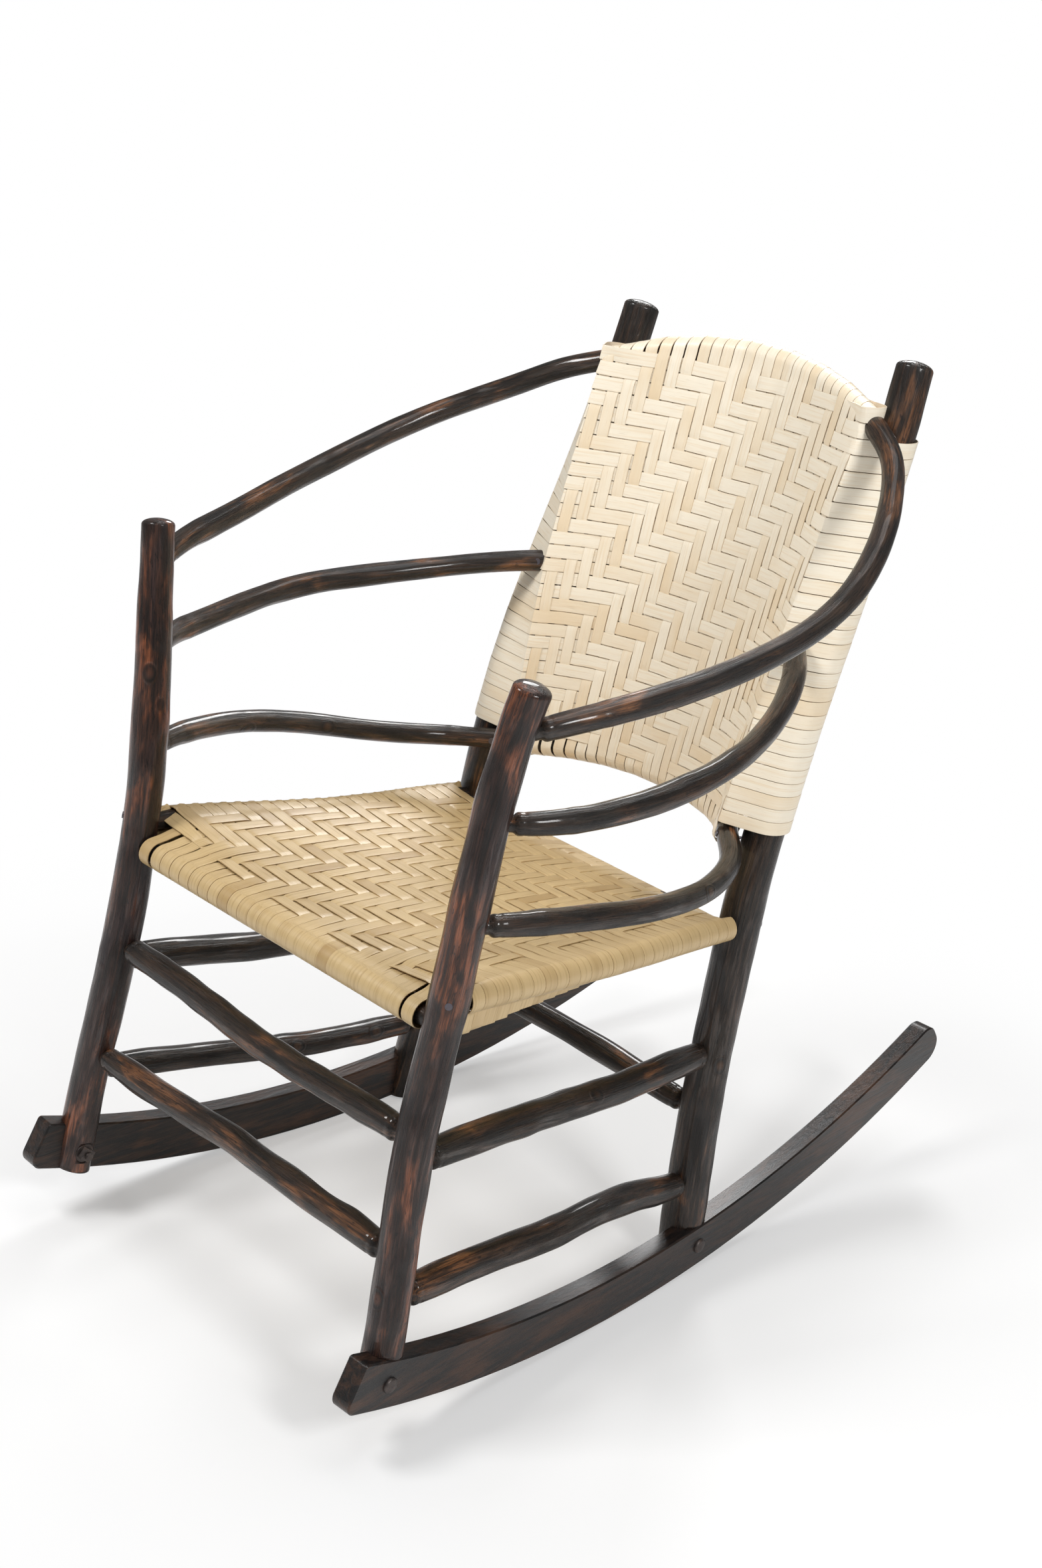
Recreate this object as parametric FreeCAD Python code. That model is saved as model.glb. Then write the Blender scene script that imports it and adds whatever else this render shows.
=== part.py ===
import FreeCAD, Part
import math
import os

# Hickory rocking chair: round poles with pared round tenons, three bent hoops that run from one
# front post round both back posts to the other front post, two board rockers half-lapped and
# bolted to the post feet, and woven splint sleeves for the seat and the back.
# The chair is laid out with upright posts: x to the sitter's left, y backward, z up, with the
# origin under the front feet. It is then leaned back to the angle at which it balances.

V = FreeCAD.Vector

# Overall sizes in millimetres
front_half_spacing = 244.0
back_half_spacing = 228.0
seat_depth = 482.0
front_post_height = 735.0
back_post_height = 1028.0
back_twist = 7.0

# Pole diameters
front_post_diameter = 40.0
back_post_diameter = 48.0
seat_rail_diameter = 26.0
front_stretcher_diameter = 28.0
side_stretcher_diameter = 32.0
back_stretcher_diameter = 28.0
hoop_diameter = 25.0

# Joints
rail_tenon_diameter = 18.0
stretcher_tenon_diameter = 16.0
hoop_tenon_diameter = 15.0
tenon_length = 21.0
tenon_fit = 0.1
tenon_end_gap = 0.8
hoop_hole_reach = 8.0
shoulder_gap = 0.4
pared_share = 0.16

# Heights of the joints on the posts
front_rail_height = 400.5
back_rail_height = 405.0
side_rail_height = 427.0
side_rail_front_drop = 3.0
front_stretcher_upper_height = 286.0
front_stretcher_lower_height = 162.0
side_stretcher_upper_height = 262.0
side_stretcher_lower_height = 124.0
back_stretcher_height = 208.0
side_stretcher_upper_rise = 8.0
right_stretcher_lift = 12.0
front_stretcher_tilt = 3.0
left_lower_rise = 3.0
top_hoop_height = 694.0
middle_hoop_height = 604.0
low_hoop_height = 503.0

# Rockers: arcs of one circle, toed in toward the back
rocker_radius = 1365.0
rocker_height = 53.0
rocker_thickness = 23.5
rocker_outer_offset = 264.7
rocker_toe_share = 0.0408
rocker_centre_back = 211.0
rocker_front_reach = 53.0
rocker_front_slant = 17.0
rocker_back_reach = 945.0
rocker_back_slant = 40.0
rocker_nose_radius = 22.0
rocker_corner_radius = 12.0
rocker_top_corner_radius = 4.0
rocker_edge_radius = 1.6
foot_trim = 1.5

# Bolts, washers and square nuts at the feet
bolt_diameter = 8.0
bolt_head_diameter = 17.0
bolt_head_height = 4.2
bolt_hole_gap = 0.2
bolt_end_length = 4.0
washer_diameter = 21.0
washer_thickness = 1.6
nut_width = 13.0
nut_thickness = 6.5
washer_seat_depth = 14.5
seat_cut_diameter = 23.0
back_bolt_shift = 8.0
nut_turn = 17.0

# Nails
nail_diameter = 3.0
nail_head_diameter = 7.0
nail_head_thickness = 1.2
hoop_nail_length = 44.0
rail_nail_length = 26.0
nail_fit = 0.05
rail_nail_rise = 4.0
hoop_nail_seat_share = 0.9
rail_nail_out_share = 0.69

# Hoop bends
top_hoop_exit = math.radians(40.0)
middle_hoop_exit = math.radians(47.0)
low_hoop_exit = math.radians(36.0)
top_hoop_pass_height = 962.0
middle_hoop_pass_height = 728.0
low_hoop_pass_height = 514.0
top_hoop_crown_height = 999.0
low_hoop_crown_height = 527.0
middle_crown_rise = 8.0
top_hoop_crown_back = 561.0
low_hoop_crown_back = 538.0

# Woven splint
splint_layer = 2.4
splint_gap = 0.35
hook_inset = 0.2
hook_skin_gap = 0.85
back_skin_gap = 0.75
back_sleeve_left_width = 168.0
back_sleeve_right_width = 152.0
back_weave_low = 549.0
back_weave_high = 946.0
seat_sleeve_front_half = 203.0
seat_sleeve_back_half = 175.0
seat_plateau_height = 424.0
seat_plateau_dish = 14.0
seat_plateau_back_drop = 5.0
seat_plateau_inset = 68.0
seat_under_height = 412.0
seat_under_inset = 100.0
seat_hook_front = 27.0
seat_hook_back = 450.0

# Weights per volume, used only to find the balance
wood_density = 700.0
steel_density = 7850.0

# Bends of the posts: share of the height, share of the half spacing, share of the height back
front_left_bend_shares = ((0.0, 1.0, 0.003), (0.20, 0.986, 0.006), (0.40, 0.942, 0.006),
                          (0.60, 0.960, 0.006), (0.80, 0.988, -0.003), (1.0, 1.068, -0.008))
front_right_bend_shares = ((0.0, 0.995, 0.003), (0.20, 0.984, 0.006), (0.40, 0.938, 0.006),
                           (0.60, 0.940, 0.006), (0.80, 0.990, -0.003), (1.0, 1.092, -0.008))
back_left_bend_shares = ((0.0, 1.010, 0.003), (0.20, 0.915, 0.001), (0.40, 0.872, 0.0),
                         (0.60, 0.885, 0.005), (0.80, 0.888, 0.034), (1.0, 0.850, 0.066))
back_right_bend_shares = ((0.0, 1.010, 0.003), (0.20, 0.935, 0.001), (0.40, 0.903, 0.0),
                          (0.60, 0.875, 0.005), (0.80, 0.812, 0.034), (1.0, 0.780, 0.066))
front_post_taper = ((0.0, 1.0), (0.5, 0.98), (0.8, 0.93), (1.0, 0.86))
back_post_taper = ((0.0, 1.0), (0.3, 0.955), (0.5, 0.92), (0.75, 0.86), (1.0, 0.82))
dome_height_share = 0.42
dome_profile_shares = ((1.0, 0.0), (0.94, 0.44), (0.76, 0.76))

# Bends of the straight poles: share along, share of the length sideways, share upward
front_upper_bend_shares = ((0.25, 0.0, -0.002), (0.5, 0.006, -0.012), (0.75, 0.0, -0.010))
front_lower_bend_shares = ((0.22, 0.0, 0.000), (0.45, -0.006, 0.006), (0.66, 0.004, 0.008),
                           (0.85, 0.0, 0.002))
left_upper_bend_shares = ((0.3, 0.004, 0.006), (0.55, -0.003, -0.010), (0.8, 0.004, 0.000))
left_lower_bend_shares = ((0.25, 0.004, 0.010), (0.5, 0.008, 0.010), (0.75, 0.0, 0.018))
right_upper_bend_shares = ((0.3, -0.004, -0.006), (0.6, 0.004, -0.008))
right_lower_bend_shares = ((0.25, -0.004, -0.002), (0.55, 0.006, -0.018), (0.8, 0.0, -0.012))
back_stretcher_bend_shares = ((0.35, 0.004, 0.014), (0.7, -0.004, 0.008))
straight_bend_shares = ((0.5, 0.0, 0.0),)
left_rail_bend_shares = ((0.5, 0.010, 0.0),)
right_rail_bend_shares = ((0.5, 0.030, 0.0),)
rung_shares = (0.0, 0.035, 0.09, 0.18, 0.34, 0.5, 0.66, 0.82, 0.91, 0.965, 1.0)
rung_taper = ((0.0, 0.0), (0.035, 0.45), (0.09, 0.85), (0.18, 1.0), (0.5, 1.0), (0.82, 1.0),
              (0.91, 0.85), (0.965, 0.45), (1.0, 0.0))

# Bends of the hoop arms: share of the way back, share of it outward, share of it upward
top_arm_shares = ((0.035, 0.030, -0.001), (0.117, 0.066, -0.023), (0.281, 0.132, -0.060),
                  (0.445, 0.189, -0.084), (0.609, 0.223, -0.092), (0.773, 0.200, -0.074),
                  (0.926, 0.120, -0.040), (0.975, 0.072, -0.016))
middle_arm_shares = ((0.035, 0.040, -0.001), (0.124, 0.079, -0.012), (0.302, 0.140, -0.021),
                     (0.479, 0.170, -0.021), (0.656, 0.156, -0.027), (0.834, 0.106, -0.019),
                     (0.930, 0.058, -0.010))
low_arm_shares = ((0.023, 0.018, 0.004), (0.115, 0.058, 0.007), (0.299, 0.116, 0.009), (0.483, 0.142, -0.002),
                  (0.667, 0.133, -0.020), (0.851, 0.099, -0.022), (0.935, 0.062, -0.013))
# Bends between the posts: share of the way out from the middle, share of the depth of the bow,
# share of the rise to the crown
top_crown_shares = ((0.86, 0.22, 0.26), (0.68, 0.50, 0.55), (0.34, 0.88, 0.88))
low_crown_shares = ((0.86, 0.38, 0.18), (0.62, 0.72, 0.55), (0.31, 0.93, 0.88))
middle_crown_shares = (-0.80, -0.4, 0.0, 0.4, 0.84)
hoop_straight_share = 0.004
hoop_taper = ((0.0, 0.62), (0.004, 0.62), (0.03, 0.97), (0.09, 1.0), (0.3, 0.95), (0.5, 0.93),
              (0.7, 0.95), (0.91, 1.0), (0.97, 0.97), (0.996, 0.62), (1.0, 0.62))
top_arm_lift_shares = (0.018, -0.002)
middle_arm_lift_shares = (0.016, -0.010)
low_arm_lift_shares = (0.006, -0.010)
low_pass_direction = V(-0.68, -0.73, 0)
middle_pass_direction = V(-0.45, -0.89, 0)
top_pass_direction = V(-0.28, -0.96, 0)

# How the forms are laid out: the straight part of a pole round a joint, rings and outlines
joint_reach = 17.0
post_bend_step = 75.0
hoop_sections = 30
hoop_window_share = 0.007
search_steps = 40
crown_search_share = 0.3
steepest_hoop_share = 0.74
back_sleeve_shares = (-1.0, -0.8, -0.55, -0.28, 0.0, 0.28, 0.55, 0.8, 1.0)
back_hook_count = 6
seat_sleeve_shares = (-1.0, -0.5, 0.0, 0.5, 1.0)


def smooth_curve(points):
    """A smooth curve through the points."""
    curve = Part.BSplineCurve()
    curve.interpolate(points)
    return curve


def place_at_height(curve, height):
    """How far along a rising curve one height is reached."""
    low = curve.FirstParameter
    high = curve.LastParameter
    for step in range(search_steps):
        middle = (low + high) / 2
        if curve.value(middle).z < height:
            low = middle
        else:
            high = middle
    return (low + high) / 2


def share_value(pairs, share):
    """Straight-line reading between (share, value) pairs."""
    for (low, low_value), (high, high_value) in zip(pairs[:-1], pairs[1:]):
        if share <= high:
            part = (share - low) / (high - low)
            return low_value + (high_value - low_value) * max(part, 0)
    return pairs[-1][1]


def frame_at(point, along, side):
    """Placement on a curve, with its own z along the curve and its own x toward side."""
    across = along.cross(side)
    matrix = FreeCAD.Matrix(side.x, across.x, along.x, point.x,
                            side.y, across.y, along.y, point.y,
                            side.z, across.z, along.z, point.z,
                            0, 0, 0, 1)
    return FreeCAD.Placement(matrix)


def ring(point, along, side, radius):
    """A circle round the curve whose seam lies toward side."""
    circle = Part.makeCircle(radius)
    circle.Placement = frame_at(point, along, side)
    return Part.Wire([circle])


def first_side(along):
    """A direction square to the start of a pole."""
    reference = V(0, 0, 1)
    if abs(along.z) > abs(along.x) + abs(along.y):
        reference = V(1, 0, 0)
    return along.cross(reference).normalize()


def carried(side, along):
    """The side direction carried on to the next ring without a twist."""
    return (side - along * side.dot(along)).normalize()


def pole(curve, shares, radius_at):
    """A round pole along a curve, with a ring at each share of it."""
    first = curve.FirstParameter
    span = curve.LastParameter - first
    side = first_side(curve.tangent(first)[0])
    rings = []
    for share in shares:
        parameter = first + span * share
        along = curve.tangent(parameter)[0]
        side = carried(side, along)
        rings.append(ring(curve.value(parameter), along, side, radius_at(share)))
    return Part.makeLoft(rings, True, True)


def joined_windows(places, reach):
    """Stretches of a curve round its joints, made one where they meet: start, end and aim."""
    stretches = []
    for place in sorted(places):
        if stretches and place - reach < stretches[-1][1] + reach:
            stretches[-1][1] = place + reach
        else:
            stretches.append([place - reach, place + reach])
    return [(low, high, (low + high) / 2) for low, high in stretches]


def jointed_pole(curve, windows, step, radius_at):
    """A round pole along a curve that is straight and even in each window, where its joints are."""
    first = curve.FirstParameter
    last = curve.LastParameter
    side = first_side(curve.tangent(first)[0])

    def bend_rings(low, high, side, whole):
        rings = []
        count = int((high - low) / step) + 1
        for number in range(0 if whole else 1, count):
            parameter = low + (high - low) * number / count
            along = curve.tangent(parameter)[0]
            side = carried(side, along)
            share = (parameter - first) / (last - first)
            rings.append(ring(curve.value(parameter), along, side, radius_at(share)))
        return rings

    parts = []
    reached = first
    rings = []
    for low, high, middle in windows:
        low = max(low, first)
        high = min(high, last)
        along = curve.tangent(middle)[0]
        centre = curve.value(middle)
        radius = radius_at((middle - first) / (last - first))
        before = (centre - curve.value(low)).dot(along)
        after = (curve.value(high) - centre).dot(along)
        rings += bend_rings(reached, low, side, not rings) if low > reached else []
        side = carried(side, along)
        start = centre - along * before
        if rings:
            parts.append(Part.makeLoft(rings + [ring(start, along, side, radius)], True, True))
        straight = Part.makeCylinder(radius, before + after)
        straight.Placement = frame_at(start, along, side)
        parts.append(straight)
        rings = [ring(start + along * (before + after), along, side, radius)]
        reached = high
    if reached < last:
        rings += bend_rings(reached, last, side, False)
        along = curve.tangent(last)[0]
        rings.append(ring(curve.value(last), along, carried(side, along), radius_at(1)))
        parts.append(Part.makeLoft(rings, True, True))
    return parts[0].fuse(parts[1:])


def even_shares(count):
    """Shares from nothing to all in even steps."""
    return [step / count for step in range(count + 1)]


def dome(point, along, radius, height):
    """A rounded end cap: a tight curve at the rim and a shallow one over the middle."""
    profile = [V(radius * out, 0, height * up) for out, up in dome_profile_shares]
    shoulder = profile[-1]
    fall = height - shoulder.z
    ball = (shoulder.x * shoulder.x + fall * fall) / (fall * 2)
    half_way = V(shoulder.x / 2, 0, height - ball + math.sqrt(ball * ball - shoulder.x * shoulder.x / 4))
    top = V(0, 0, height)
    rim = Part.Arc(profile[0], profile[1], shoulder).toShape()
    crown = Part.Arc(shoulder, half_way, top).toShape()
    middle = Part.LineSegment(top, V(0, 0, 0)).toShape()
    base = Part.LineSegment(V(0, 0, 0), profile[0]).toShape()
    face = Part.Face(Part.Wire([rim, crown, middle, base]))
    cap = face.revolve(V(0, 0, 0), V(0, 0, 1), 360)
    cap.Placement = FreeCAD.Placement(point, FreeCAD.Rotation(V(0, 0, 1), along))
    return cap


def peg(start, direction, length, radius):
    """A plain cylinder."""
    return Part.makeCylinder(radius, length, start, direction)


pieces = {}
cuts = {}


def drill(name, cutter):
    """Remember a shape that is to be cut from a piece."""
    cuts.setdefault(name, []).append(cutter)


# Posts

post_curves = {}
post_radii = {}


def post_path(side, bend_shares, height, half_spacing, back_offset, lift):
    """The axis of one post from below the foot to the base of its dome."""
    points = []
    for up, out, back in bend_shares:
        rise = height * up + lift * up
        points.append(V(side * half_spacing * out, back_offset + height * back, rise))
    return smooth_curve(points)


def make_post(name, side, bend_shares, height, half_spacing, back_offset, diameter, taper, lift,
              joint_heights):
    """One post with a domed top; its foot is shaped later."""
    top_radius = diameter * taper[-1][1] / 2
    dome_height = top_radius * dome_height_share
    curve = post_path(side, bend_shares, height - dome_height, half_spacing, back_offset, lift)

    def radius_at(share):
        return diameter * share_value(taper, share) / 2

    end = curve.LastParameter
    scale = end / curve.EndPoint.z
    places = [place_at_height(curve, joint) for joint in joint_heights]
    body = jointed_pole(curve, joined_windows(places, joint_reach * scale), post_bend_step * scale,
                        radius_at)
    cap = dome(curve.value(end), curve.tangent(end)[0], top_radius, dome_height)
    post_curves[name] = curve
    post_radii[name] = radius_at
    pieces[name] = body.fuse(cap).removeSplitter()


def post_at(name, height):
    """Axis point and radius of a post at a height."""
    curve = post_curves[name]
    return curve.value(place_at_height(curve, height)), post_radii[name](height / curve.EndPoint.z)


foot_joints = (0.0, rocker_height)
front_joints = foot_joints + (
    side_stretcher_lower_height, front_stretcher_lower_height, side_stretcher_upper_height,
    front_stretcher_upper_height, front_rail_height, side_rail_height, low_hoop_height,
    middle_hoop_height, top_hoop_height)
back_joints = foot_joints + (
    side_stretcher_lower_height, back_stretcher_height, side_stretcher_upper_height,
    side_stretcher_upper_height + side_stretcher_upper_rise * 2, back_rail_height,
    side_rail_height + rail_nail_rise, low_hoop_pass_height, middle_hoop_pass_height,
    top_hoop_pass_height)
make_post("front_post_left", 1, front_left_bend_shares, front_post_height, front_half_spacing, 0,
          front_post_diameter, front_post_taper, 0, front_joints)
make_post("front_post_right", -1, front_right_bend_shares, front_post_height, front_half_spacing, 0,
          front_post_diameter, front_post_taper, 0, front_joints)
make_post("back_post_left", 1, back_left_bend_shares, back_post_height, back_half_spacing,
          seat_depth, back_post_diameter, back_post_taper, back_twist, back_joints)
make_post("back_post_right", -1, back_right_bend_shares, back_post_height, back_half_spacing,
          seat_depth, back_post_diameter, back_post_taper, -back_twist, back_joints)

# Rockers

wide = rocker_radius * 2
circle_centre = V(0, rocker_centre_back, rocker_radius)
toe_angle = math.degrees(math.atan(rocker_toe_share))


def arc_height(back, radius):
    """Height of the lower half of a circle round the rocker centre."""
    away = back - rocker_centre_back
    return rocker_radius - math.sqrt(radius * radius - away * away)


def arc_point(back, radius):
    """Point of that circle at one distance back."""
    return V(0, back, arc_height(back, radius))


def arc_edge(start, end, radius):
    """Part of that circle."""
    middle = arc_point((start + end) / 2, radius)
    return Part.Arc(arc_point(start, radius), middle, arc_point(end, radius)).toShape()


def toed(shape, side):
    """Put a shape drawn on the plane x = 0 to its side and toe it in toward the back."""
    shape.rotate(V(0, 0, 0), V(0, 0, 1), side * toe_angle)
    shape.translate(V(side * rocker_outer_offset, 0, 0))
    return shape


def rocker_outline(low_radius, high_radius):
    """Side view of a rocker: slanted front end, square back end."""
    front = -rocker_front_reach
    high_start = front + rocker_front_slant
    high_end = rocker_back_reach - rocker_back_slant
    low = arc_edge(front, rocker_back_reach, low_radius)
    high = arc_edge(high_end, high_start, high_radius)
    corners = (arc_point(rocker_back_reach, low_radius), arc_point(high_end, high_radius),
               arc_point(high_start, high_radius), arc_point(front, low_radius))
    back = Part.LineSegment(corners[0], corners[1]).toShape()
    end = Part.LineSegment(corners[2], corners[3]).toShape()
    return Part.Wire([low, back, high, end])


def corner_edges(shape, low_back, high_back, low_height, high_height):
    """Edges that run straight across a board inside a window of the side view."""
    found = []
    for edge in shape.Edges:
        box = edge.BoundBox
        if box.YLength + box.ZLength > box.XLength / 10:
            continue
        if low_back < box.YMin < high_back and low_height < box.ZMin < high_height:
            found.append(edge)
    return found


def side_edges(shape):
    """Edges round the two flat sides of a board."""
    return [edge for edge in shape.Edges if edge.BoundBox.XLength < rocker_edge_radius]


for side, name in ((1, "rocker_left"), (-1, "rocker_right")):
    face = Part.Face(rocker_outline(rocker_radius, rocker_radius - rocker_height))
    board = face.extrude(V(-side * rocker_thickness, 0, 0))
    corner = arc_height(-rocker_front_reach, rocker_radius) + rocker_height / 4
    front_low = corner_edges(board, -rocker_radius, 0, 0, corner)
    board = board.makeFillet(rocker_corner_radius, front_low)
    front_high = corner_edges(board, -rocker_radius, 0, corner, rocker_radius)
    board = board.makeFillet(rocker_top_corner_radius, front_high)
    nose = corner_edges(board, seat_depth, rocker_radius, 0, rocker_radius)
    board = board.makeFillet(rocker_nose_radius, nose)
    board = board.makeChamfer(rocker_edge_radius, side_edges(board))
    pieces[name] = toed(board, side)

# The feet: the outer part of each post stands on the rocker, the inner part runs down its face

bottom_cylinder = peg(circle_centre - V(wide / 2, 0, 0), V(1, 0, 0), wide, rocker_radius - foot_trim)
top_cylinder = peg(circle_centre - V(wide / 2, 0, 0), V(1, 0, 0), wide, rocker_radius - rocker_height)


def lap_block(side):
    """Everything outside the inner face of a rocker and below its top."""
    block = Part.makeBox(seat_depth, seat_depth * 2, seat_depth)
    block.translate(V(-rocker_thickness, -seat_depth / 2, -seat_depth / 2))
    if side < 0:
        block = block.mirror(V(0, 0, 0), V(1, 0, 0))
    return toed(block.cut(top_cylinder), side)


for side, place in ((1, "left"), (-1, "right")):
    block = lap_block(side)
    for end in ("front", "back"):
        name = end + "_post_" + place
        pieces[name] = pieces[name].common(bottom_cylinder).cut(block)

# Bolts, washers and nuts

bolts = []
washers = []
nuts = []


def make_bolt(side, place, end, back):
    """One bolt through rocker and post, with its washer and nut inside."""
    radius = rocker_radius - rocker_height / 2
    start = toed(Part.Vertex(arc_point(back, radius)), side).Point
    inward = FreeCAD.Rotation(V(0, 0, 1), side * toe_angle).multVec(V(-side, 0, 0))
    seat = rocker_thickness + washer_seat_depth
    shank = peg(start, inward, seat + washer_thickness + nut_thickness + bolt_end_length,
                bolt_diameter / 2)
    cap = dome(start, inward * -1, bolt_head_diameter / 2, bolt_head_height)
    bolts.append(shank.fuse(cap))
    hole = peg(start - inward * bolt_head_height, inward, seat * 2, bolt_diameter / 2 + bolt_hole_gap)
    drill("rocker_" + place, hole)
    drill(end + "_post_" + place, hole)
    flat = peg(start + inward * seat, inward, washer_seat_depth * 2, seat_cut_diameter / 2)
    drill(end + "_post_" + place, flat)
    disc = peg(start + inward * seat, inward, washer_thickness, washer_diameter / 2)
    washers.append(disc.cut(hole))
    block = Part.makeBox(nut_width, nut_width, nut_thickness)
    block.translate(V(-nut_width / 2, -nut_width / 2, 0))
    block.rotate(V(0, 0, 0), V(0, 0, 1), side * nut_turn * len(nuts))
    block.Placement = FreeCAD.Placement(start + inward * (seat + washer_thickness),
                                        FreeCAD.Rotation(V(0, 0, 1), inward)).multiply(block.Placement)
    nuts.append(block.cut(hole))


for side, place in ((1, "left"), (-1, "right")):
    make_bolt(side, place, "front", post_at("front_post_" + place, rocker_height)[0].y)
    make_bolt(side, place, "back", post_at("back_post_" + place, rocker_height)[0].y + back_bolt_shift)

pieces["rocker_bolts"] = Part.makeCompound(bolts)
pieces["rocker_washers"] = Part.makeCompound(washers)
pieces["rocker_nuts"] = Part.makeCompound(nuts)

# Rails and stretchers

rung_curves = {}


def make_rung(name, first_post, first_height, last_post, last_height, diameter, tenon, bends, outward):
    """A pole between two posts, pared at its ends to round tenons."""
    first, first_radius = post_at(first_post, first_height)
    last, last_radius = post_at(last_post, last_height)
    line = last - first
    length = line.Length
    line.normalize()
    start = first + line * (first_radius + shoulder_gap)
    finish = last - line * (last_radius + shoulder_gap)
    span = finish - start
    up = V(0, 0, 1)
    points = [start, start + span * (pared_share / 4)]
    for along, out, rise in bends:
        points.append(start + span * along + outward * (length * out) + up * (length * rise))
    points.append(finish - span * (pared_share / 4))
    points.append(finish)
    curve = smooth_curve(points)
    narrow = tenon / diameter

    def radius_at(share):
        return diameter / 2 * (narrow + (1 - narrow) * share_value(rung_taper, share))

    body = pole(curve, rung_shares, radius_at)
    ends = ((start, curve.tangent(curve.FirstParameter)[0] * -1, first_post),
            (finish, curve.tangent(curve.LastParameter)[0], last_post))
    for point, direction, post in ends:
        body = body.fuse(peg(point, direction, tenon_length, tenon / 2))
        hole = peg(point - direction * (shoulder_gap + tenon_end_gap), direction,
                   tenon_length + shoulder_gap + tenon_end_gap * 2, tenon / 2 + tenon_fit)
        drill(post, hole)
    rung_curves[name] = curve
    pieces[name] = body.removeSplitter()


left = V(1, 0, 0)
right = V(-1, 0, 0)
forward = V(0, -1, 0)

make_rung("seat_rail_front", "front_post_right", front_rail_height, "front_post_left",
          front_rail_height, seat_rail_diameter, rail_tenon_diameter, straight_bend_shares, forward)
make_rung("seat_rail_back", "back_post_right", back_rail_height, "back_post_left",
          back_rail_height, seat_rail_diameter, rail_tenon_diameter, straight_bend_shares, forward)
make_rung("seat_rail_left", "front_post_left", side_rail_height - side_rail_front_drop,
          "back_post_left", side_rail_height, seat_rail_diameter, rail_tenon_diameter,
          left_rail_bend_shares, left)
make_rung("seat_rail_right", "front_post_right", side_rail_height - side_rail_front_drop,
          "back_post_right", side_rail_height, seat_rail_diameter, rail_tenon_diameter,
          right_rail_bend_shares, left)
make_rung("front_stretcher_upper", "front_post_right", front_stretcher_upper_height + front_stretcher_tilt,
          "front_post_left", front_stretcher_upper_height - front_stretcher_tilt,
          front_stretcher_diameter, stretcher_tenon_diameter, front_upper_bend_shares, forward)
make_rung("front_stretcher_lower", "front_post_right", front_stretcher_lower_height - front_stretcher_tilt,
          "front_post_left", front_stretcher_lower_height + front_stretcher_tilt,
          front_stretcher_diameter, stretcher_tenon_diameter, front_lower_bend_shares, forward)
make_rung("side_stretcher_left_upper", "front_post_left", side_stretcher_upper_height,
          "back_post_left", side_stretcher_upper_height + side_stretcher_upper_rise * 2,
          side_stretcher_diameter, stretcher_tenon_diameter, left_upper_bend_shares, left)
make_rung("side_stretcher_left_lower", "front_post_left", side_stretcher_lower_height,
          "back_post_left", side_stretcher_lower_height + left_lower_rise, side_stretcher_diameter,
          stretcher_tenon_diameter, left_lower_bend_shares, left)
make_rung("side_stretcher_right_upper", "front_post_right",
          side_stretcher_upper_height + side_stretcher_upper_rise, "back_post_right",
          side_stretcher_upper_height, side_stretcher_diameter, stretcher_tenon_diameter,
          right_upper_bend_shares, right)
make_rung("side_stretcher_right_lower", "front_post_right",
          side_stretcher_lower_height + right_stretcher_lift, "back_post_right",
          side_stretcher_lower_height, front_stretcher_diameter, stretcher_tenon_diameter,
          right_lower_bend_shares, right)
make_rung("back_stretcher", "back_post_right", back_stretcher_height, "back_post_left",
          back_stretcher_height, back_stretcher_diameter, stretcher_tenon_diameter,
          back_stretcher_bend_shares, forward)

# Hoops

hoop_nails = []
hoop_curves = {}
hoop_windows = {}
hoop_radius = hoop_diameter / 2


def nail(head_point, direction, length):
    """A round nail driven from its head point along a direction."""
    head = peg(head_point - direction * nail_head_thickness, direction, nail_head_thickness,
               nail_head_diameter / 2)
    return head.fuse(peg(head_point, direction, length, nail_diameter / 2))


def nail_hole(head_point, direction, length):
    """The hole for a nail."""
    back_off = nail_head_diameter
    return peg(head_point - direction * back_off, direction, back_off + length + tenon_end_gap,
               nail_diameter / 2 + nail_fit)


def head_seat(head_point, direction):
    """A small flat under a nail head."""
    return peg(head_point - direction * nail_head_diameter, direction, nail_head_diameter,
               nail_head_diameter / 2 + tenon_fit)


def crossing(side, pass_height, direction):
    """Where a hoop passes a back post, and the way from there into the post."""
    place = "left" if side > 0 else "right"
    height = pass_height + side * back_twist
    axis, radius = post_at("back_post_" + place, height)
    away = V(direction.x * side, direction.y, 0).normalize()
    reach = radius + hoop_radius + splint_layer + splint_gap * 2
    return axis + away * reach, away * -1


def half_hoop(side, joint_height, exit_angle, arm_shares, lift_shares, pass_height, direction):
    """Points of one arm, from the front post to the crossing of the back post."""
    place = "left" if side > 0 else "right"
    axis, radius = post_at("front_post_" + place, joint_height)
    way = V(side * math.sin(exit_angle), math.cos(exit_angle), 0)
    start = axis + way * (radius + shoulder_gap)
    contact = crossing(side, pass_height, direction)[0]
    line = contact - start
    depth = line.y
    lift = lift_shares[0] if side < 0 else lift_shares[1]
    points = [start]
    for along, out, rise in arm_shares:
        bulge = V(side * depth * out, 0, depth * (rise + lift * math.sin(math.pi * along)))
        points.append(start + line * along + bulge)
    points.append(contact)
    return points


def crown_point(contact, crown, share, bow, rise):
    """A point between the crossing of a post and the middle of a hoop."""
    out = contact.x * share
    back = contact.y + (crown.y - contact.y) * bow
    height = contact.z + (crown.z - contact.z) * rise
    return V(out, back, height)


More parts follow.
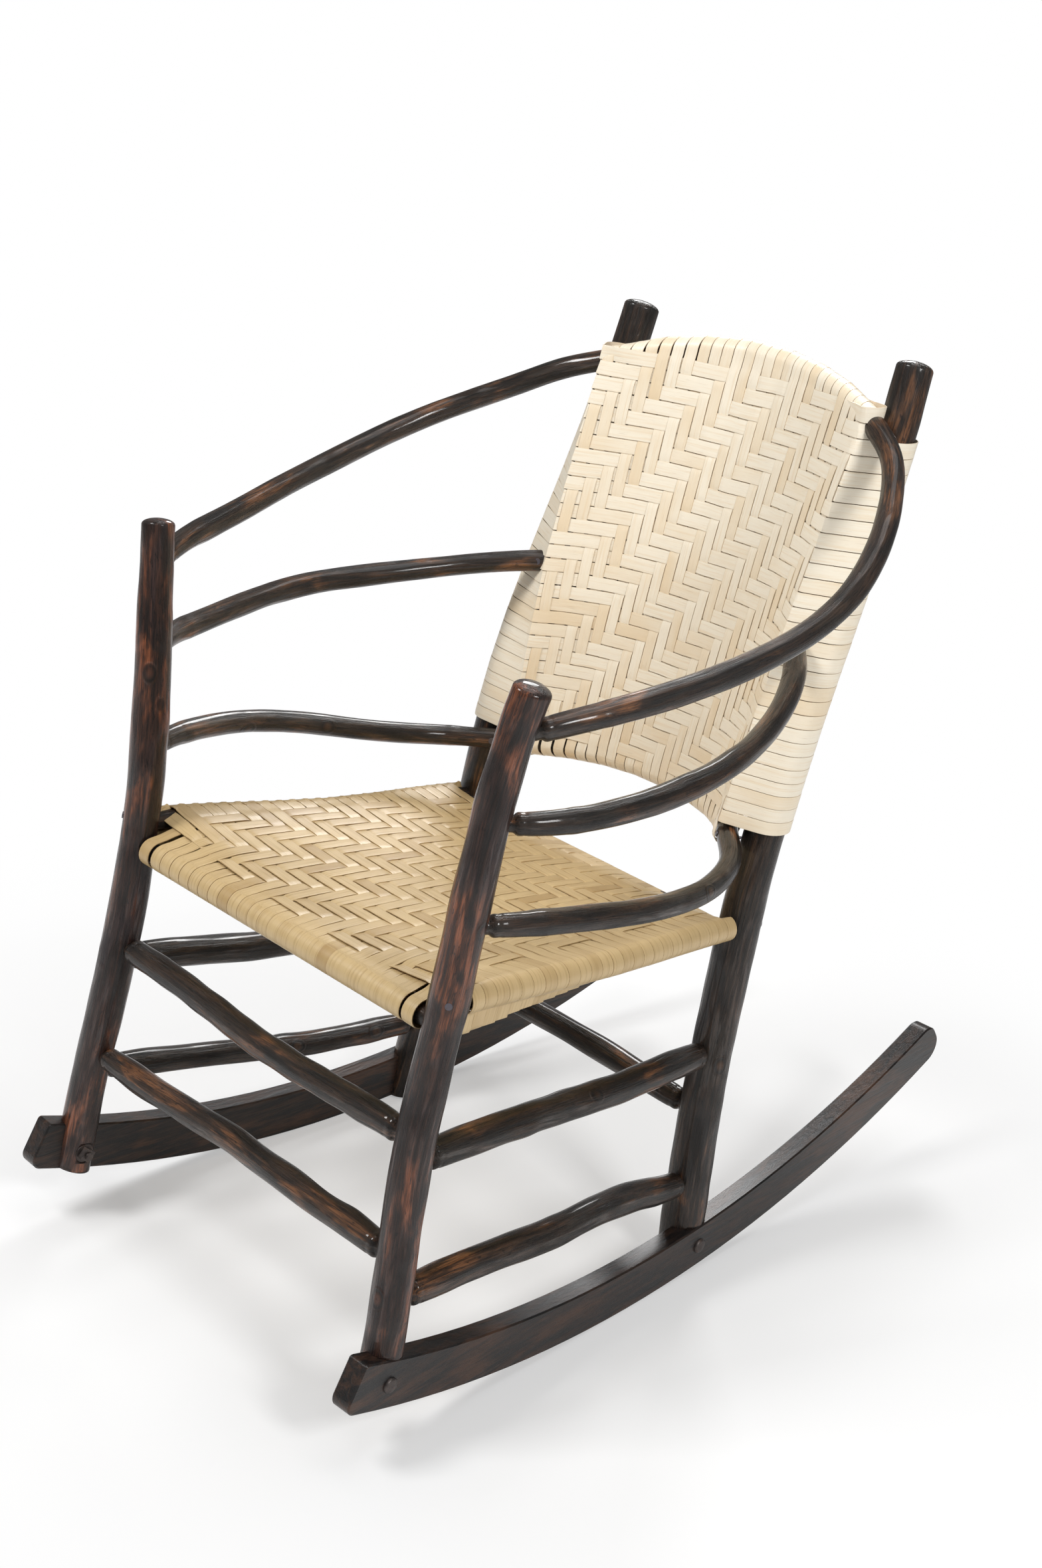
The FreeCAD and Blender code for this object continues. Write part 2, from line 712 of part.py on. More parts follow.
def make_hoop(name, joint_height, exit_angle, arm_shares, lift_shares, pass_height, direction,
              crown_points):
    """One bent pole from front post to front post round both back posts."""
    arms = {}
    for side in (-1, 1):
        arms[side] = half_hoop(side, joint_height, exit_angle, arm_shares, lift_shares, pass_height,
                               direction)
    first = arms[-1]
    last = list(reversed(arms[1]))
    middle = crown_points(first[-1], last[0])
    curve = smooth_curve(first + middle + last)

    def radius_at(share):
        return hoop_radius * share_value(hoop_taper, share)

    hoop_curves[name] = curve
    first_place = curve.FirstParameter
    span = curve.LastParameter - first_place
    straight = span * hoop_straight_share
    passes = [curve.parameter(first[-1]), curve.parameter(last[0])]
    reach = span * hoop_window_share
    windows = [(first_place, first_place + straight, first_place)] + joined_windows(passes, reach)
    windows.append((curve.LastParameter - straight, curve.LastParameter, curve.LastParameter))
    hoop_windows[name] = windows
    body = jointed_pole(curve, windows, span / hoop_sections, radius_at)
    ways = {-1: curve.tangent(curve.FirstParameter)[0], 1: curve.tangent(curve.LastParameter)[0] * -1}
    for side, place in ((-1, "right"), (1, "left")):
        points = arms[side]
        way = ways[side]
        body = body.fuse(peg(points[0], way * -1, tenon_length, radius_at(0)))
        hole = peg(points[0] + way * hoop_hole_reach, way * -1,
                   hoop_hole_reach + tenon_length + tenon_end_gap, radius_at(0) + tenon_fit)
        drill("front_post_" + place, hole)
        contact, inward = crossing(side, pass_height, direction)
        head_point = contact - inward * (hoop_radius * hoop_nail_seat_share)
        hoop_nails.append(nail(head_point, inward, hoop_nail_length))
        hole = nail_hole(head_point, inward, hoop_nail_length)
        for other in (name, "back_post_" + place, "back_weave"):
            drill(other, hole)
        for other in (name, "back_weave"):
            drill(other, head_seat(head_point, inward))
    pieces[name] = body.removeSplitter()



def arched(crown, shares):
    """Points of a crown between two crossings."""
    def build(first, last):
        points = [crown_point(first, crown, *row) for row in shares]
        points.append(crown)
        points += [crown_point(last, crown, *row) for row in reversed(shares)]
        return points
    return build


def point_across(curve, out):
    """The point of a hoop's crown at one distance to the side."""
    span = curve.LastParameter - curve.FirstParameter
    low = curve.FirstParameter + span * crown_search_share
    high = curve.LastParameter - span * crown_search_share
    for step in range(search_steps):
        middle = (low + high) / 2
        if curve.value(middle).x < out:
            low = middle
        else:
            high = middle
    parameter = (low + high) / 2
    return curve.value(parameter), curve.tangent(parameter)[0]


def sleeve_out(step):
    """Distance to the side at one share of the back sleeve's half width."""
    return step * (back_sleeve_left_width if step > 0 else back_sleeve_right_width)


def between_hoops(first, last):
    """Crown of the middle hoop: between the low hoop and the top one all the way across."""
    points = []
    for step in middle_crown_shares:
        out = sleeve_out(step)
        low = point_across(hoop_curves["hoop_low"], out)[0]
        top = point_across(hoop_curves["hoop_top"], out)[0]
        part = (out - first.x) / (last.x - first.x)
        height = first.z + (last.z - first.z) * part + middle_crown_rise * (1 - step * step)
        share = (height - low.z) / (top.z - low.z)
        points.append(V(out, low.y + (top.y - low.y) * share, height))
    return points


make_hoop("hoop_top", top_hoop_height, top_hoop_exit, top_arm_shares, top_arm_lift_shares,
          top_hoop_pass_height, top_pass_direction,
          arched(V(0, top_hoop_crown_back, top_hoop_crown_height), top_crown_shares))
make_hoop("hoop_low", low_hoop_height, low_hoop_exit, low_arm_shares, low_arm_lift_shares,
          low_hoop_pass_height, low_pass_direction,
          arched(V(0, low_hoop_crown_back, low_hoop_crown_height), low_crown_shares))
make_hoop("hoop_middle", middle_hoop_height, middle_hoop_exit, middle_arm_shares,
          middle_arm_lift_shares, middle_hoop_pass_height, middle_pass_direction, between_hoops)
pieces["hoop_nails"] = Part.makeCompound(hoop_nails)

# Nails that pin the side rails in the posts

rail_nails = []
back_share = math.sqrt(1 - rail_nail_out_share * rail_nail_out_share)
for side, place in ((1, "left"), (-1, "right")):
    for end, back in (("front", -1), ("back", 1)):
        post = end + "_post_" + place
        drop = side_rail_front_drop if end == "front" else 0
        axis, radius = post_at(post, side_rail_height - drop + rail_nail_rise)
        away = V(side * rail_nail_out_share, back * back_share, 0)
        head_point = axis + away * (radius - tenon_end_gap)
        rail_nails.append(nail(head_point, away * -1, rail_nail_length))
        hole = nail_hole(head_point, away * -1, rail_nail_length)
        drill(post, hole)
        drill(post, head_seat(head_point, away * -1))
        drill("seat_rail_" + place, hole)
pieces["rail_nails"] = Part.makeCompound(rail_nails)

# Woven splint sleeves


def turned(centre, radius, angle):
    """Point at an angle on a circle drawn on the flat."""
    return (centre[0] + radius * math.cos(angle), centre[1] + radius * math.sin(angle))


def touch_angle(centre, radius, outside, sense):
    """Angle at which a line from an outside point touches a circle."""
    away = (outside[0] - centre[0], outside[1] - centre[1])
    distance = math.hypot(away[0], away[1])
    return math.atan2(away[1], away[0]) + sense * math.acos(radius / distance)


def line_edges(points, to_space):
    """Straight edges through points drawn on the flat."""
    edges = []
    for start, end in zip(points[:-1], points[1:]):
        edges.append(Part.LineSegment(to_space(start), to_space(end)).toShape())
    return edges


def arc_around(centre, radius, start, end, to_space):
    """An arc on a circle from one angle to another."""
    angles = (start, (start + end) / 2, end)
    points = [to_space(turned(centre, radius, angle)) for angle in angles]
    return Part.Arc(*points).toShape()


def belt(first, first_radius, last, last_radius, over, under, to_space):
    """A closed belt round two circles, over some points and under others."""
    full_turn = math.pi * 2
    leave_first = touch_angle(first, first_radius, over[0], 1)
    reach_last = touch_angle(last, last_radius, over[-1], -1)
    leave_last = touch_angle(last, last_radius, under[-1], 1)
    reach_first = touch_angle(first, first_radius, under[0], -1)
    while reach_last > math.pi:
        reach_last -= full_turn
    while leave_last > reach_last:
        leave_last -= full_turn
    while leave_last < reach_last - full_turn:
        leave_last += full_turn
    while reach_first < leave_first:
        reach_first += full_turn
    upper = [turned(first, first_radius, leave_first)] + over + [turned(last, last_radius, reach_last)]
    lower = [turned(last, last_radius, leave_last)] + list(reversed(under))
    lower.append(turned(first, first_radius, reach_first))
    edges = line_edges(upper, to_space)
    edges.append(arc_around(last, last_radius, reach_last, leave_last, to_space))
    edges += line_edges(lower, to_space)
    edges.append(arc_around(first, first_radius, reach_first, leave_first, to_space))
    return Part.Wire(edges)


def hook(start, end, centre, inner_radius, thickness, to_space):
    """A closed outline of a strip that leaves start, runs round a circle and comes back to end."""
    outlines = []
    for radius, inset in ((inner_radius + thickness, 0), (inner_radius, thickness)):
        top = (start[0], start[1] - inset)
        bottom = (end[0], end[1] + inset)
        first = touch_angle(centre, radius, top, -1)
        last = touch_angle(centre, radius, bottom, 1)
        while first < 0:
            first += math.pi * 2
        while last > first:
            last -= math.pi * 2
        outlines.append((top, bottom, first, last, radius))
    (top, bottom, first, last, radius) = outlines[0]
    (top_in, bottom_in, first_in, last_in, radius_in) = outlines[1]
    edges = line_edges([top, turned(centre, radius, first)], to_space)
    edges.append(arc_around(centre, radius, first, last, to_space))
    edges += line_edges([turned(centre, radius, last), bottom, bottom_in,
                         turned(centre, radius_in, last_in)], to_space)
    edges.append(arc_around(centre, radius_in, last_in, first_in, to_space))
    edges += line_edges([turned(centre, radius_in, first_in), top_in, top], to_space)
    return Part.Wire(edges)


def reading(points, position):
    """Height of a chain of points at one position along it."""
    for start, end in zip(points[:-1], points[1:]):
        if position <= end[0]:
            part = (position - start[0]) / (end[0] - start[0])
            return start[1] + (end[1] - start[1]) * part
    return points[-1][1]


# Back: strips run over the top and low hoops, and round both back posts

skin_inner = splint_gap
skin_outer = splint_gap + splint_layer


def hoop_section(name, out):
    """Centre and reach of a hoop where the plane x = out cuts it, drawn with up and forward."""
    point, along = point_across(hoop_curves[name], out)
    return (point.z, -point.y), hoop_radius / max(abs(along.x), steepest_hoop_share)


def back_belt(out, skin):
    """The sleeve outline at one distance to the side."""
    low, low_reach = hoop_section("hoop_low", out)
    top, top_reach = hoop_section("hoop_top", out)
    middle, middle_reach = hoop_section("hoop_middle", out)
    over = [(middle[0], middle[1] + middle_reach + skin)]
    under = [(middle[0], middle[1] - middle_reach - skin)]

    def to_space(point):
        return V(out, -point[1], point[0])

    return belt(low, low_reach + skin, top, top_reach + skin, over, under, to_space)


def back_faces(out, skin):
    """Front and back lines of the sleeve at one distance to the side."""
    low, low_reach = hoop_section("hoop_low", out)
    top, top_reach = hoop_section("hoop_top", out)
    middle, middle_reach = hoop_section("hoop_middle", out)
    lines = []
    for sense in (1, -1):
        pass_point = (middle[0], middle[1] + sense * (middle_reach + skin))
        first = turned(low, low_reach + skin, touch_angle(low, low_reach + skin, pass_point, sense))
        last = turned(top, top_reach + skin, touch_angle(top, top_reach + skin, pass_point, -sense))
        lines.append([first, pass_point, last])
    return lines


back_skin_outer = back_skin_gap + splint_layer
back_outer = Part.makeLoft([back_belt(sleeve_out(share), back_skin_outer)
                            for share in back_sleeve_shares], True, True)
back_inner = Part.makeLoft([back_belt(sleeve_out(share), back_skin_gap)
                            for share in back_sleeve_shares], True, True)
back_weave = back_outer.cut(back_inner)


def back_hook(side):
    """The strips that run round one back post."""
    place = "left" if side > 0 else "right"
    edge = abs(sleeve_out(side))
    front_line, back_line = back_faces(side * edge, back_skin_outer)
    wires = []
    for step in even_shares(back_hook_count):
        height = back_weave_low + (back_weave_high - back_weave_low) * step + side * back_twist
        axis, radius = post_at("back_post_" + place, height)
        front = reading(front_line, height) - hook_inset
        back = reading(back_line, height) + hook_inset

        def to_space(point):
            return V(side * point[0], -point[1], height)

        wires.append(hook((edge, front), (edge, back),
                          (abs(axis.x), -axis.y), radius + hook_skin_gap,
                          splint_layer - hook_inset * 2, to_space))
    return Part.makeLoft(wires, True, True)


back_weave = back_weave.fuse([back_hook(1), back_hook(-1)]).removeSplitter()


def swollen(name, extra):
    """A hoop grown by a small gap."""
    curve = hoop_curves[name]

    def radius_at(share):
        return hoop_radius * share_value(hoop_taper, share) + extra

    step = (curve.LastParameter - curve.FirstParameter) / hoop_sections
    return jointed_pole(curve, hoop_windows[name], step, radius_at)


pieces["back_weave"] = back_weave
for name in ("hoop_middle", "hoop_low"):
    drill("back_weave", swollen(name, splint_gap))

# Seat: strips run over the front and back rails, and round both side rails

rail_reach = seat_rail_diameter / 2


def seat_section(share, skin):
    """Centres and passing points of the seat sleeve at one share of its half width."""
    front = V(seat_sleeve_front_half * share, pieces_point("seat_rail_front", share).y,
              front_rail_height)
    back = V(seat_sleeve_back_half * share, pieces_point("seat_rail_back", share).y,
             back_rail_height)
    height = seat_plateau_height - seat_plateau_dish * (1 - share * share)
    over = [(front.y + seat_plateau_inset, height + rail_reach + skin),
            (back.y - seat_plateau_inset, height - seat_plateau_back_drop + rail_reach + skin)]
    under = [(front.y + seat_under_inset, seat_under_height - rail_reach - skin),
             (back.y - seat_under_inset, seat_under_height - rail_reach - skin)]
    return front, back, over, under


def pieces_point(name, share):
    """Point of a rail's axis at a share of its half length from the middle."""
    curve = rung_curves[name]
    middle = (curve.FirstParameter + curve.LastParameter) / 2
    half = (curve.LastParameter - curve.FirstParameter) / 2
    return curve.value(middle + half * share)


def seat_belt(share, skin):
    """The seat sleeve outline at one share of its half width."""
    front, back, over, under = seat_section(share, skin)

    def to_space(point):
        part = (point[0] - front.y) / (back.y - front.y)
        return V(front.x + (back.x - front.x) * part, point[0], point[1])

    return belt((front.y, front.z), rail_reach + skin, (back.y, back.z), rail_reach + skin,
                over, under, to_space)


seat_outer = Part.makeLoft([seat_belt(share, skin_outer) for share in seat_sleeve_shares], True, True)
seat_inner = Part.makeLoft([seat_belt(share, skin_inner) for share in seat_sleeve_shares], True, True)
seat_weave = seat_outer.cut(seat_inner)


def seat_hook(side, place):
    """The strips that run round one side rail."""
    front, back, over, under = seat_section(side, skin_outer)
    first = touch_angle((front.y, front.z), rail_reach + skin_outer, over[0], 1)
    last = touch_angle((back.y, back.z), rail_reach + skin_outer, over[-1], -1)
    upper = [turned((front.y, front.z), rail_reach + skin_outer, first)] + over
    upper.append(turned((back.y, back.z), rail_reach + skin_outer, last))
    first = touch_angle((front.y, front.z), rail_reach + skin_outer, under[0], -1)
    last = touch_angle((back.y, back.z), rail_reach + skin_outer, under[-1], 1)
    lower = [turned((front.y, front.z), rail_reach + skin_outer, first)] + under
    lower.append(turned((back.y, back.z), rail_reach + skin_outer, last))
    curve = rung_curves["seat_rail_" + place]
    span = seat_hook_back - seat_hook_front
    inset_back = back.y - seat_plateau_inset
    inset_front = front.y + seat_plateau_inset
    stops = [seat_hook_front, inset_front, seat_hook_front + span / 2, inset_back, seat_hook_back]
    wires = []
    for position in stops:
        low = curve.FirstParameter
        high = curve.LastParameter
        for step in range(search_steps):
            middle = (low + high) / 2
            if curve.value(middle).y < position:
                low = middle
            else:
                high = middle
        axis = curve.value(low)
        part = (position - front.y) / (back.y - front.y)
        edge = abs(front.x + (back.x - front.x) * part)
        top = reading(upper, position) - hook_inset
        bottom = reading(lower, position) + hook_inset

        def to_space(point):
            return V(side * point[0], position, point[1])

        wires.append(hook((edge, top), (edge, bottom), (abs(axis.x), axis.z),
                          rail_reach + hook_skin_gap, splint_layer - hook_inset * 2, to_space))
    return Part.makeLoft(wires, True, True)


seat_weave = seat_weave.fuse([seat_hook(1, "left"), seat_hook(-1, "right")]).removeSplitter()
pieces["seat_weave"] = seat_weave

# Cut every hole

for name, cutters in cuts.items():
    pieces[name] = pieces[name].cut(cutters)

# Lean the chair to the angle at which it balances on its rockers, and stand it on the floor

steel_pieces = ("rocker_bolts", "rocker_washers", "rocker_nuts", "hoop_nails", "rail_nails")


def balance_point():
    """Centre of mass of all the pieces."""
    total = 0.0
    moment = V(0, 0, 0)
    for name, shape in pieces.items():
        density = steel_density if name in steel_pieces else wood_density
        for solid in shape.Solids:
            weight = solid.Volume * density
            total += weight
            moment += solid.CenterOfMass * weight
    return moment * (1 / total)


balance = balance_point()
below = circle_centre.z - balance.z
behind = balance.y - circle_centre.y
lean = math.degrees(math.atan2(behind, below))
for shape in pieces.values():
    shape.rotate(V(0, circle_centre.y, circle_centre.z), V(1, 0, 0), -lean)

box = Part.makeCompound(list(pieces.values())).optimalBoundingBox(False, False)
shift = V(-(box.XMin + box.XMax) / 2, -(box.YMin + box.YMax) / 2, -box.ZMin)
for shape in pieces.values():
    shape.translate(shift)

os.makedirs("parts", exist_ok=True)
for name, shape in pieces.items():
    if len(shape.Solids) == 1:
        shape = shape.Solids[0]
    shape.exportStep("parts/" + name + ".step")
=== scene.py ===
import bpy
import bmesh
import math
import numpy as np
from mathutils import Matrix, Vector


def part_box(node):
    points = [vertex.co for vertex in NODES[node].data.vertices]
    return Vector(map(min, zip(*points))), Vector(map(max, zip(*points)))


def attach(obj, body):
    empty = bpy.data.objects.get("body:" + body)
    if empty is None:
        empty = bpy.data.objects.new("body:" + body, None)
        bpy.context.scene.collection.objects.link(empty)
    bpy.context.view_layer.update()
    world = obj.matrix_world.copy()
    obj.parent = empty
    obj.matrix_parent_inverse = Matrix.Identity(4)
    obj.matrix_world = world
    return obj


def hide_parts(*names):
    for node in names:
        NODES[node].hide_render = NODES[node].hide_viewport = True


bl_info = {
    "name": "Hickory rocking chair",
    "version": (1, 0, 0),
    "blender": (4, 5, 0),
    "location": "View3D > Sidebar > Chair",
    "description": "Poles, rockers, woven splint and finishes of a hickory rocking chair",
    "category": "Object",
}

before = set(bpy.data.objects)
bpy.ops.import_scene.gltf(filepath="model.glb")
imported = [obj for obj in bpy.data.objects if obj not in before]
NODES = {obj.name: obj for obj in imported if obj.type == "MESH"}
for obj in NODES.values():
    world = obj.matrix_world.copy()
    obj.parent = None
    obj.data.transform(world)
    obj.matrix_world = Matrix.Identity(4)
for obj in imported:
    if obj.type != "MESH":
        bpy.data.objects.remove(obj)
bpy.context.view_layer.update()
POSTS = ("front_post_left", "front_post_right", "back_post_left", "back_post_right")
RAILS = ("seat_rail_front", "seat_rail_back", "seat_rail_left", "seat_rail_right")
STRETCHERS = ("front_stretcher_upper", "front_stretcher_lower", "side_stretcher_left_upper",
              "side_stretcher_left_lower", "side_stretcher_right_upper",
              "side_stretcher_right_lower", "back_stretcher")
HOOPS = ("hoop_top", "hoop_middle", "hoop_low")


# Lines of points. Lengths in this file are in metres.

def unit(rows):
    """A vector, or rows of vectors, scaled to length 1."""
    if rows.ndim == 1:
        return rows / np.linalg.norm(rows)
    return rows / np.linalg.norm(rows, axis=1)[:, None]


def lengths(points):
    """Length of a line up to each of its points."""
    gaps = np.linalg.norm(np.diff(points, axis=0), axis=1)
    return np.concatenate([[0], np.cumsum(gaps)])


def rows_at(keys, rows, places):
    """The rows of a table read off at places between its rising keys."""
    return np.stack([np.interp(places, keys, column) for column in rows.T], axis=-1)


def eased(share):
    """A share from 0 to 1 with soft ends."""
    return share * share * (3 - 2 * share)


def smoothed(rows, reach):
    """Running average with mirrored ends."""
    kernel = np.hanning(reach * 2 + 3)[1:-1]
    kernel /= kernel.sum()
    flat = rows.reshape(len(rows), -1)
    head = 2 * flat[0] - flat[reach:0:-1]
    tail = 2 * flat[-1] - flat[-2:-reach - 2:-1]
    full = np.concatenate([head, flat, tail])
    out = np.stack([np.convolve(column, kernel, "valid") for column in full.T], axis=1)
    return out.reshape(rows.shape)


def spaced(points, values, step):
    """Points and values at even steps along a line, with their places along it."""
    reach = lengths(points)
    stops = np.linspace(0, reach[-1], max(int(reach[-1] / step), 2) + 1)
    return rows_at(reach, points, stops), np.interp(stops, reach, values), stops


def carried_frames(line):
    """Along, side and up directions carried along a line without a twist."""
    along = unit(np.gradient(line, axis=0))
    start = (0.0, 0.0, 1.0) if abs(along[0, 2]) < 0.7 else (1.0, 0.0, 0.0)
    side = unit(np.cross(along[0], start))
    sides = []
    for way in along:
        side = unit(side - way * side.dot(way))
        sides.append(side)
    return along, np.array(sides), np.cross(along, sides)


# Reading the frame

OFF_AXIS = (0.3, 0.5, 0.81)     # a direction that no pole runs in
LEAST_HITS = 8                  # crossings that make a readable section
ROUGH_CUTS = 9
FINE_CUTS = 90
HOOP_CUTS = 200
POST_FOOT = 0.075               # the part of a post that the rocker's slot takes
POST_TOP = 0.018
RUNG_TIP = 0.003
RUNG_INSET = 0.001
HOOP_HUB_SHARE = 0.62           # of the hoop's depth, where the cutting planes turn
HOOP_TIP_ANGLE = 0.03
HOOP_TIP = 0.008


def node_arrays(name):
    """Points and triangles of a node of the frame."""
    mesh = NODES[name].data
    points = np.empty(len(mesh.vertices) * 3)
    mesh.vertices.foreach_get("co", points)
    mesh.calc_loop_triangles()
    corners = np.empty(len(mesh.loop_triangles) * 3, dtype=np.int64)
    mesh.loop_triangles.foreach_get("vertices", corners)
    return points.reshape(-1, 3), corners.reshape(-1, 3)


def plane_cut(points, corners, origin, normal):
    """Points where the triangles cross a plane."""
    height = (points - origin) @ normal
    pairs = np.concatenate([corners[:, [0, 1]], corners[:, [1, 2]], corners[:, [2, 0]]])
    first = height[pairs[:, 0]]
    last = height[pairs[:, 1]]
    crossing = first * last < 0
    pairs = pairs[crossing]
    share = (first[crossing] / (first[crossing] - last[crossing]))[:, None]
    return points[pairs[:, 0]] * (1 - share) + points[pairs[:, 1]] * share


def outline_centre(flat):
    """Centre and area of the outline round flat points."""
    flat = np.unique(np.round(flat, 7), axis=0)
    order = flat[np.lexsort((flat[:, 1], flat[:, 0]))]

    def half(rows):
        chain = []
        for row in rows:
            while len(chain) > 1 and (
                    (chain[-1][0] - chain[-2][0]) * (row[1] - chain[-2][1])
                    - (chain[-1][1] - chain[-2][1]) * (row[0] - chain[-2][0])) <= 0:
                chain.pop()
            chain.append(row)
        return chain[:-1]

    ring = np.array(half(order) + half(order[::-1]))
    after = np.roll(ring, -1, axis=0)
    cross = ring[:, 0] * after[:, 1] - after[:, 0] * ring[:, 1]
    area = cross.sum() / 2
    return ((ring + after) * cross[:, None]).sum(axis=0) / (6 * area), abs(area)


def read_axis(name, cuts):
    """Centre line and radii of a pole, from planes (origin, normal, one side or None)."""
    points, corners = node_arrays(name)
    centres, areas, normals = [], [], []
    for origin, normal, toward in cuts:
        hit = plane_cut(points, corners, origin, normal)
        if toward is not None:
            hit = hit[(hit - origin) @ toward > 0]
        if len(hit) < LEAST_HITS:
            continue
        across = unit(np.cross(normal, OFF_AXIS))
        up = np.cross(normal, across)
        flat = np.stack([(hit - origin) @ across, (hit - origin) @ up], axis=1)
        centre, area = outline_centre(flat)
        centres.append(origin + across * centre[0] + up * centre[1])
        areas.append(area)
        normals.append(normal)
    centres = np.array(centres)
    along = unit(np.gradient(centres, axis=0))
    slant = np.abs((along * np.array(normals)).sum(axis=1))
    return centres, np.sqrt(np.array(areas) * slant / math.pi)


def straight_cuts(low, high, count):
    """Planes across the line from low to high."""
    normal = unit(high - low)
    return [(low + (high - low) * share, normal, None) for share in np.linspace(0, 1, count)]


def straight_axis(name):
    """Centre line and radii of a post, rail or stretcher."""
    low, high = [np.array(corner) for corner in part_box(name)]
    if name in POSTS:
        axis, first, last, inset = 2, POST_FOOT, POST_TOP, 0.0
    else:
        axis = 0 if high[0] - low[0] > high[1] - low[1] else 1
        first = last = RUNG_TIP
        inset = RUNG_INSET
    start, end = (low + high) / 2, (low + high) / 2
    start[axis] = low[axis] + first
    end[axis] = high[axis] - last
    rough = read_axis(name, straight_cuts(start, end, ROUGH_CUTS))[0]
    shift = unit(rough[-1] - rough[0]) * inset
    return read_axis(name, straight_cuts(rough[0] + shift, rough[-1] - shift, FINE_CUTS))


def hoop_axis(name):
    """Centre line and radii of a hoop, from planes that turn round a hub inside it."""
    low, high = [np.array(corner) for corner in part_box(name)]
    hub = np.array((0.0, low[1] + (high[1] - low[1]) * HOOP_HUB_SHARE, ((low + high) / 2)[2]))
    away = node_arrays(name)[0] - hub
    angles = np.arctan2(away[:, 1], away[:, 0])
    angles = (angles + math.pi / 2) % (2 * math.pi) - math.pi / 2
    cuts = []
    for angle in np.linspace(angles.min() + HOOP_TIP_ANGLE, angles.max() - HOOP_TIP_ANGLE,
                             HOOP_CUTS):
        toward = np.array((math.cos(angle), math.sin(angle), 0.0))
        normal = np.array((-math.sin(angle), math.cos(angle), 0.0))
        cuts.append((hub, normal, toward))
    return extended(*read_axis(name, cuts), HOOP_TIP, HOOP_TIP)


def extended(centres, radii, start, end):
    """The line made longer at its ends."""
    if start:
        first = centres[0] + unit(centres[0] - centres[3]) * start
        centres = np.concatenate([[first], centres])
        radii = np.concatenate([[radii[0]], radii])
    if end:
        last = centres[-1] + unit(centres[-1] - centres[-4]) * end
        centres = np.concatenate([centres, [last]])
        radii = np.concatenate([radii, [radii[-1]]])
    return centres, radii


AXES = {}


def pole_axis(name):
    """Centre line and radii of a pole of the frame, from end to end, read once."""
    if name not in AXES:
        AXES[name] = hoop_axis(name) if name in HOOPS else straight_axis(name)
    return AXES[name]


def along_axis(name, axis, value):
    """Centre and radius of a pole where one coordinate has a value."""
    centres, radii = pole_axis(name)
    order = np.argsort(centres[:, axis])
    keys = centres[order, axis]
    return rows_at(keys, centres[order], value), np.interp(value, keys, radii[order])


# Making meshes

def linked(name, data):
    """An object in the scene."""
    made = bpy.data.objects.new(name, data)
    bpy.context.scene.collection.objects.link(made)
    return made


def add_piece(name, points, faces):
    """A smooth mesh object that rides on the chair."""
    mesh = bpy.data.meshes.new(name)
    mesh.from_pydata([tuple(row) for row in points], [], faces)
    mesh.validate()
    mesh.update()
    piece = linked(name, mesh)
    mesh.polygons.foreach_set("use_smooth", [True] * len(mesh.polygons))
    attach(piece, "root")
    return piece


def point_values(piece, name, rows):
    """Store a number or a vector at each point for the materials."""
    rows = np.asarray(rows, dtype=np.float32)
    kind, field = ("FLOAT", "value") if rows.ndim == 1 else ("FLOAT_VECTOR", "vector")
    piece.data.attributes.new(name, kind, "POINT").data.foreach_set(field, rows.ravel())


def tube_faces(rings, sides, closed=False):
    """Faces of a tube of rings, with the last ring joined to the first or with two caps."""
    faces = []
    for ring in range(rings if closed else rings - 1):
        low = ring * sides
        high = (ring + 1) % rings * sides
        for side in range(sides):
            after = (side + 1) % sides
            faces.append((low + side, low + after, high + after, high + side))
    if not closed:
        faces.append(tuple(range(sides - 1, -1, -1)))
        faces.append(tuple(range((rings - 1) * sides, rings * sides)))
    return faces


class Lumps:
    """Smooth seeded unevenness over the length and round the girth of a pole."""
    waves_in_all = 14
    spans = (0.05, 0.30)
    full_span = 0.26
    most_turns = 4
    any_angle = (0, 6.28)
    knot_gap = 0.17
    knot_margin = 0.04
    knot_spreads = (0.007, 0.013)
    knot_rises = (1.6, 3.6)         # shares of the unevenness
    knot_stretch = 1.5

    def __init__(self, seed, length, size):
        rng = np.random.default_rng(seed)
        self.waves = []
        for _ in range(self.waves_in_all):
            span = rng.uniform(*self.spans)
            turns = int(rng.integers(0, self.most_turns))
            self.waves.append((2 * math.pi / span, turns, rng.uniform(*self.any_angle),
                               rng.uniform(*self.any_angle),
                               size * rng.uniform(0.3, 1.0) * (span / self.full_span) ** 0.5))
        self.knots = []
        farthest = max(length - self.knot_margin, 0.05)
        for _ in range(max(int(length / self.knot_gap), 1)):
            self.knots.append((rng.uniform(self.knot_margin, farthest),
                               rng.uniform(*self.any_angle), rng.uniform(*self.knot_spreads),
                               size * rng.uniform(*self.knot_rises)))

    def at(self, stops, angles, radius):
        """Height of the unevenness."""
        out = np.zeros((len(stops), len(angles)))
        for rate, turns, phase, turn_phase, height in self.waves:
            wave = np.sin(stops * rate + phase)[:, None]
            out += height * wave * np.cos(angles * turns + turn_phase)
        for place, angle, spread, height in self.knots:
            around = (angles - angle + math.pi) % (2 * math.pi) - math.pi
            far = (((stops - place)[:, None] / (spread * self.knot_stretch)) ** 2
                   + (around * radius / spread) ** 2)
            out += height * np.exp(-far)
        return out


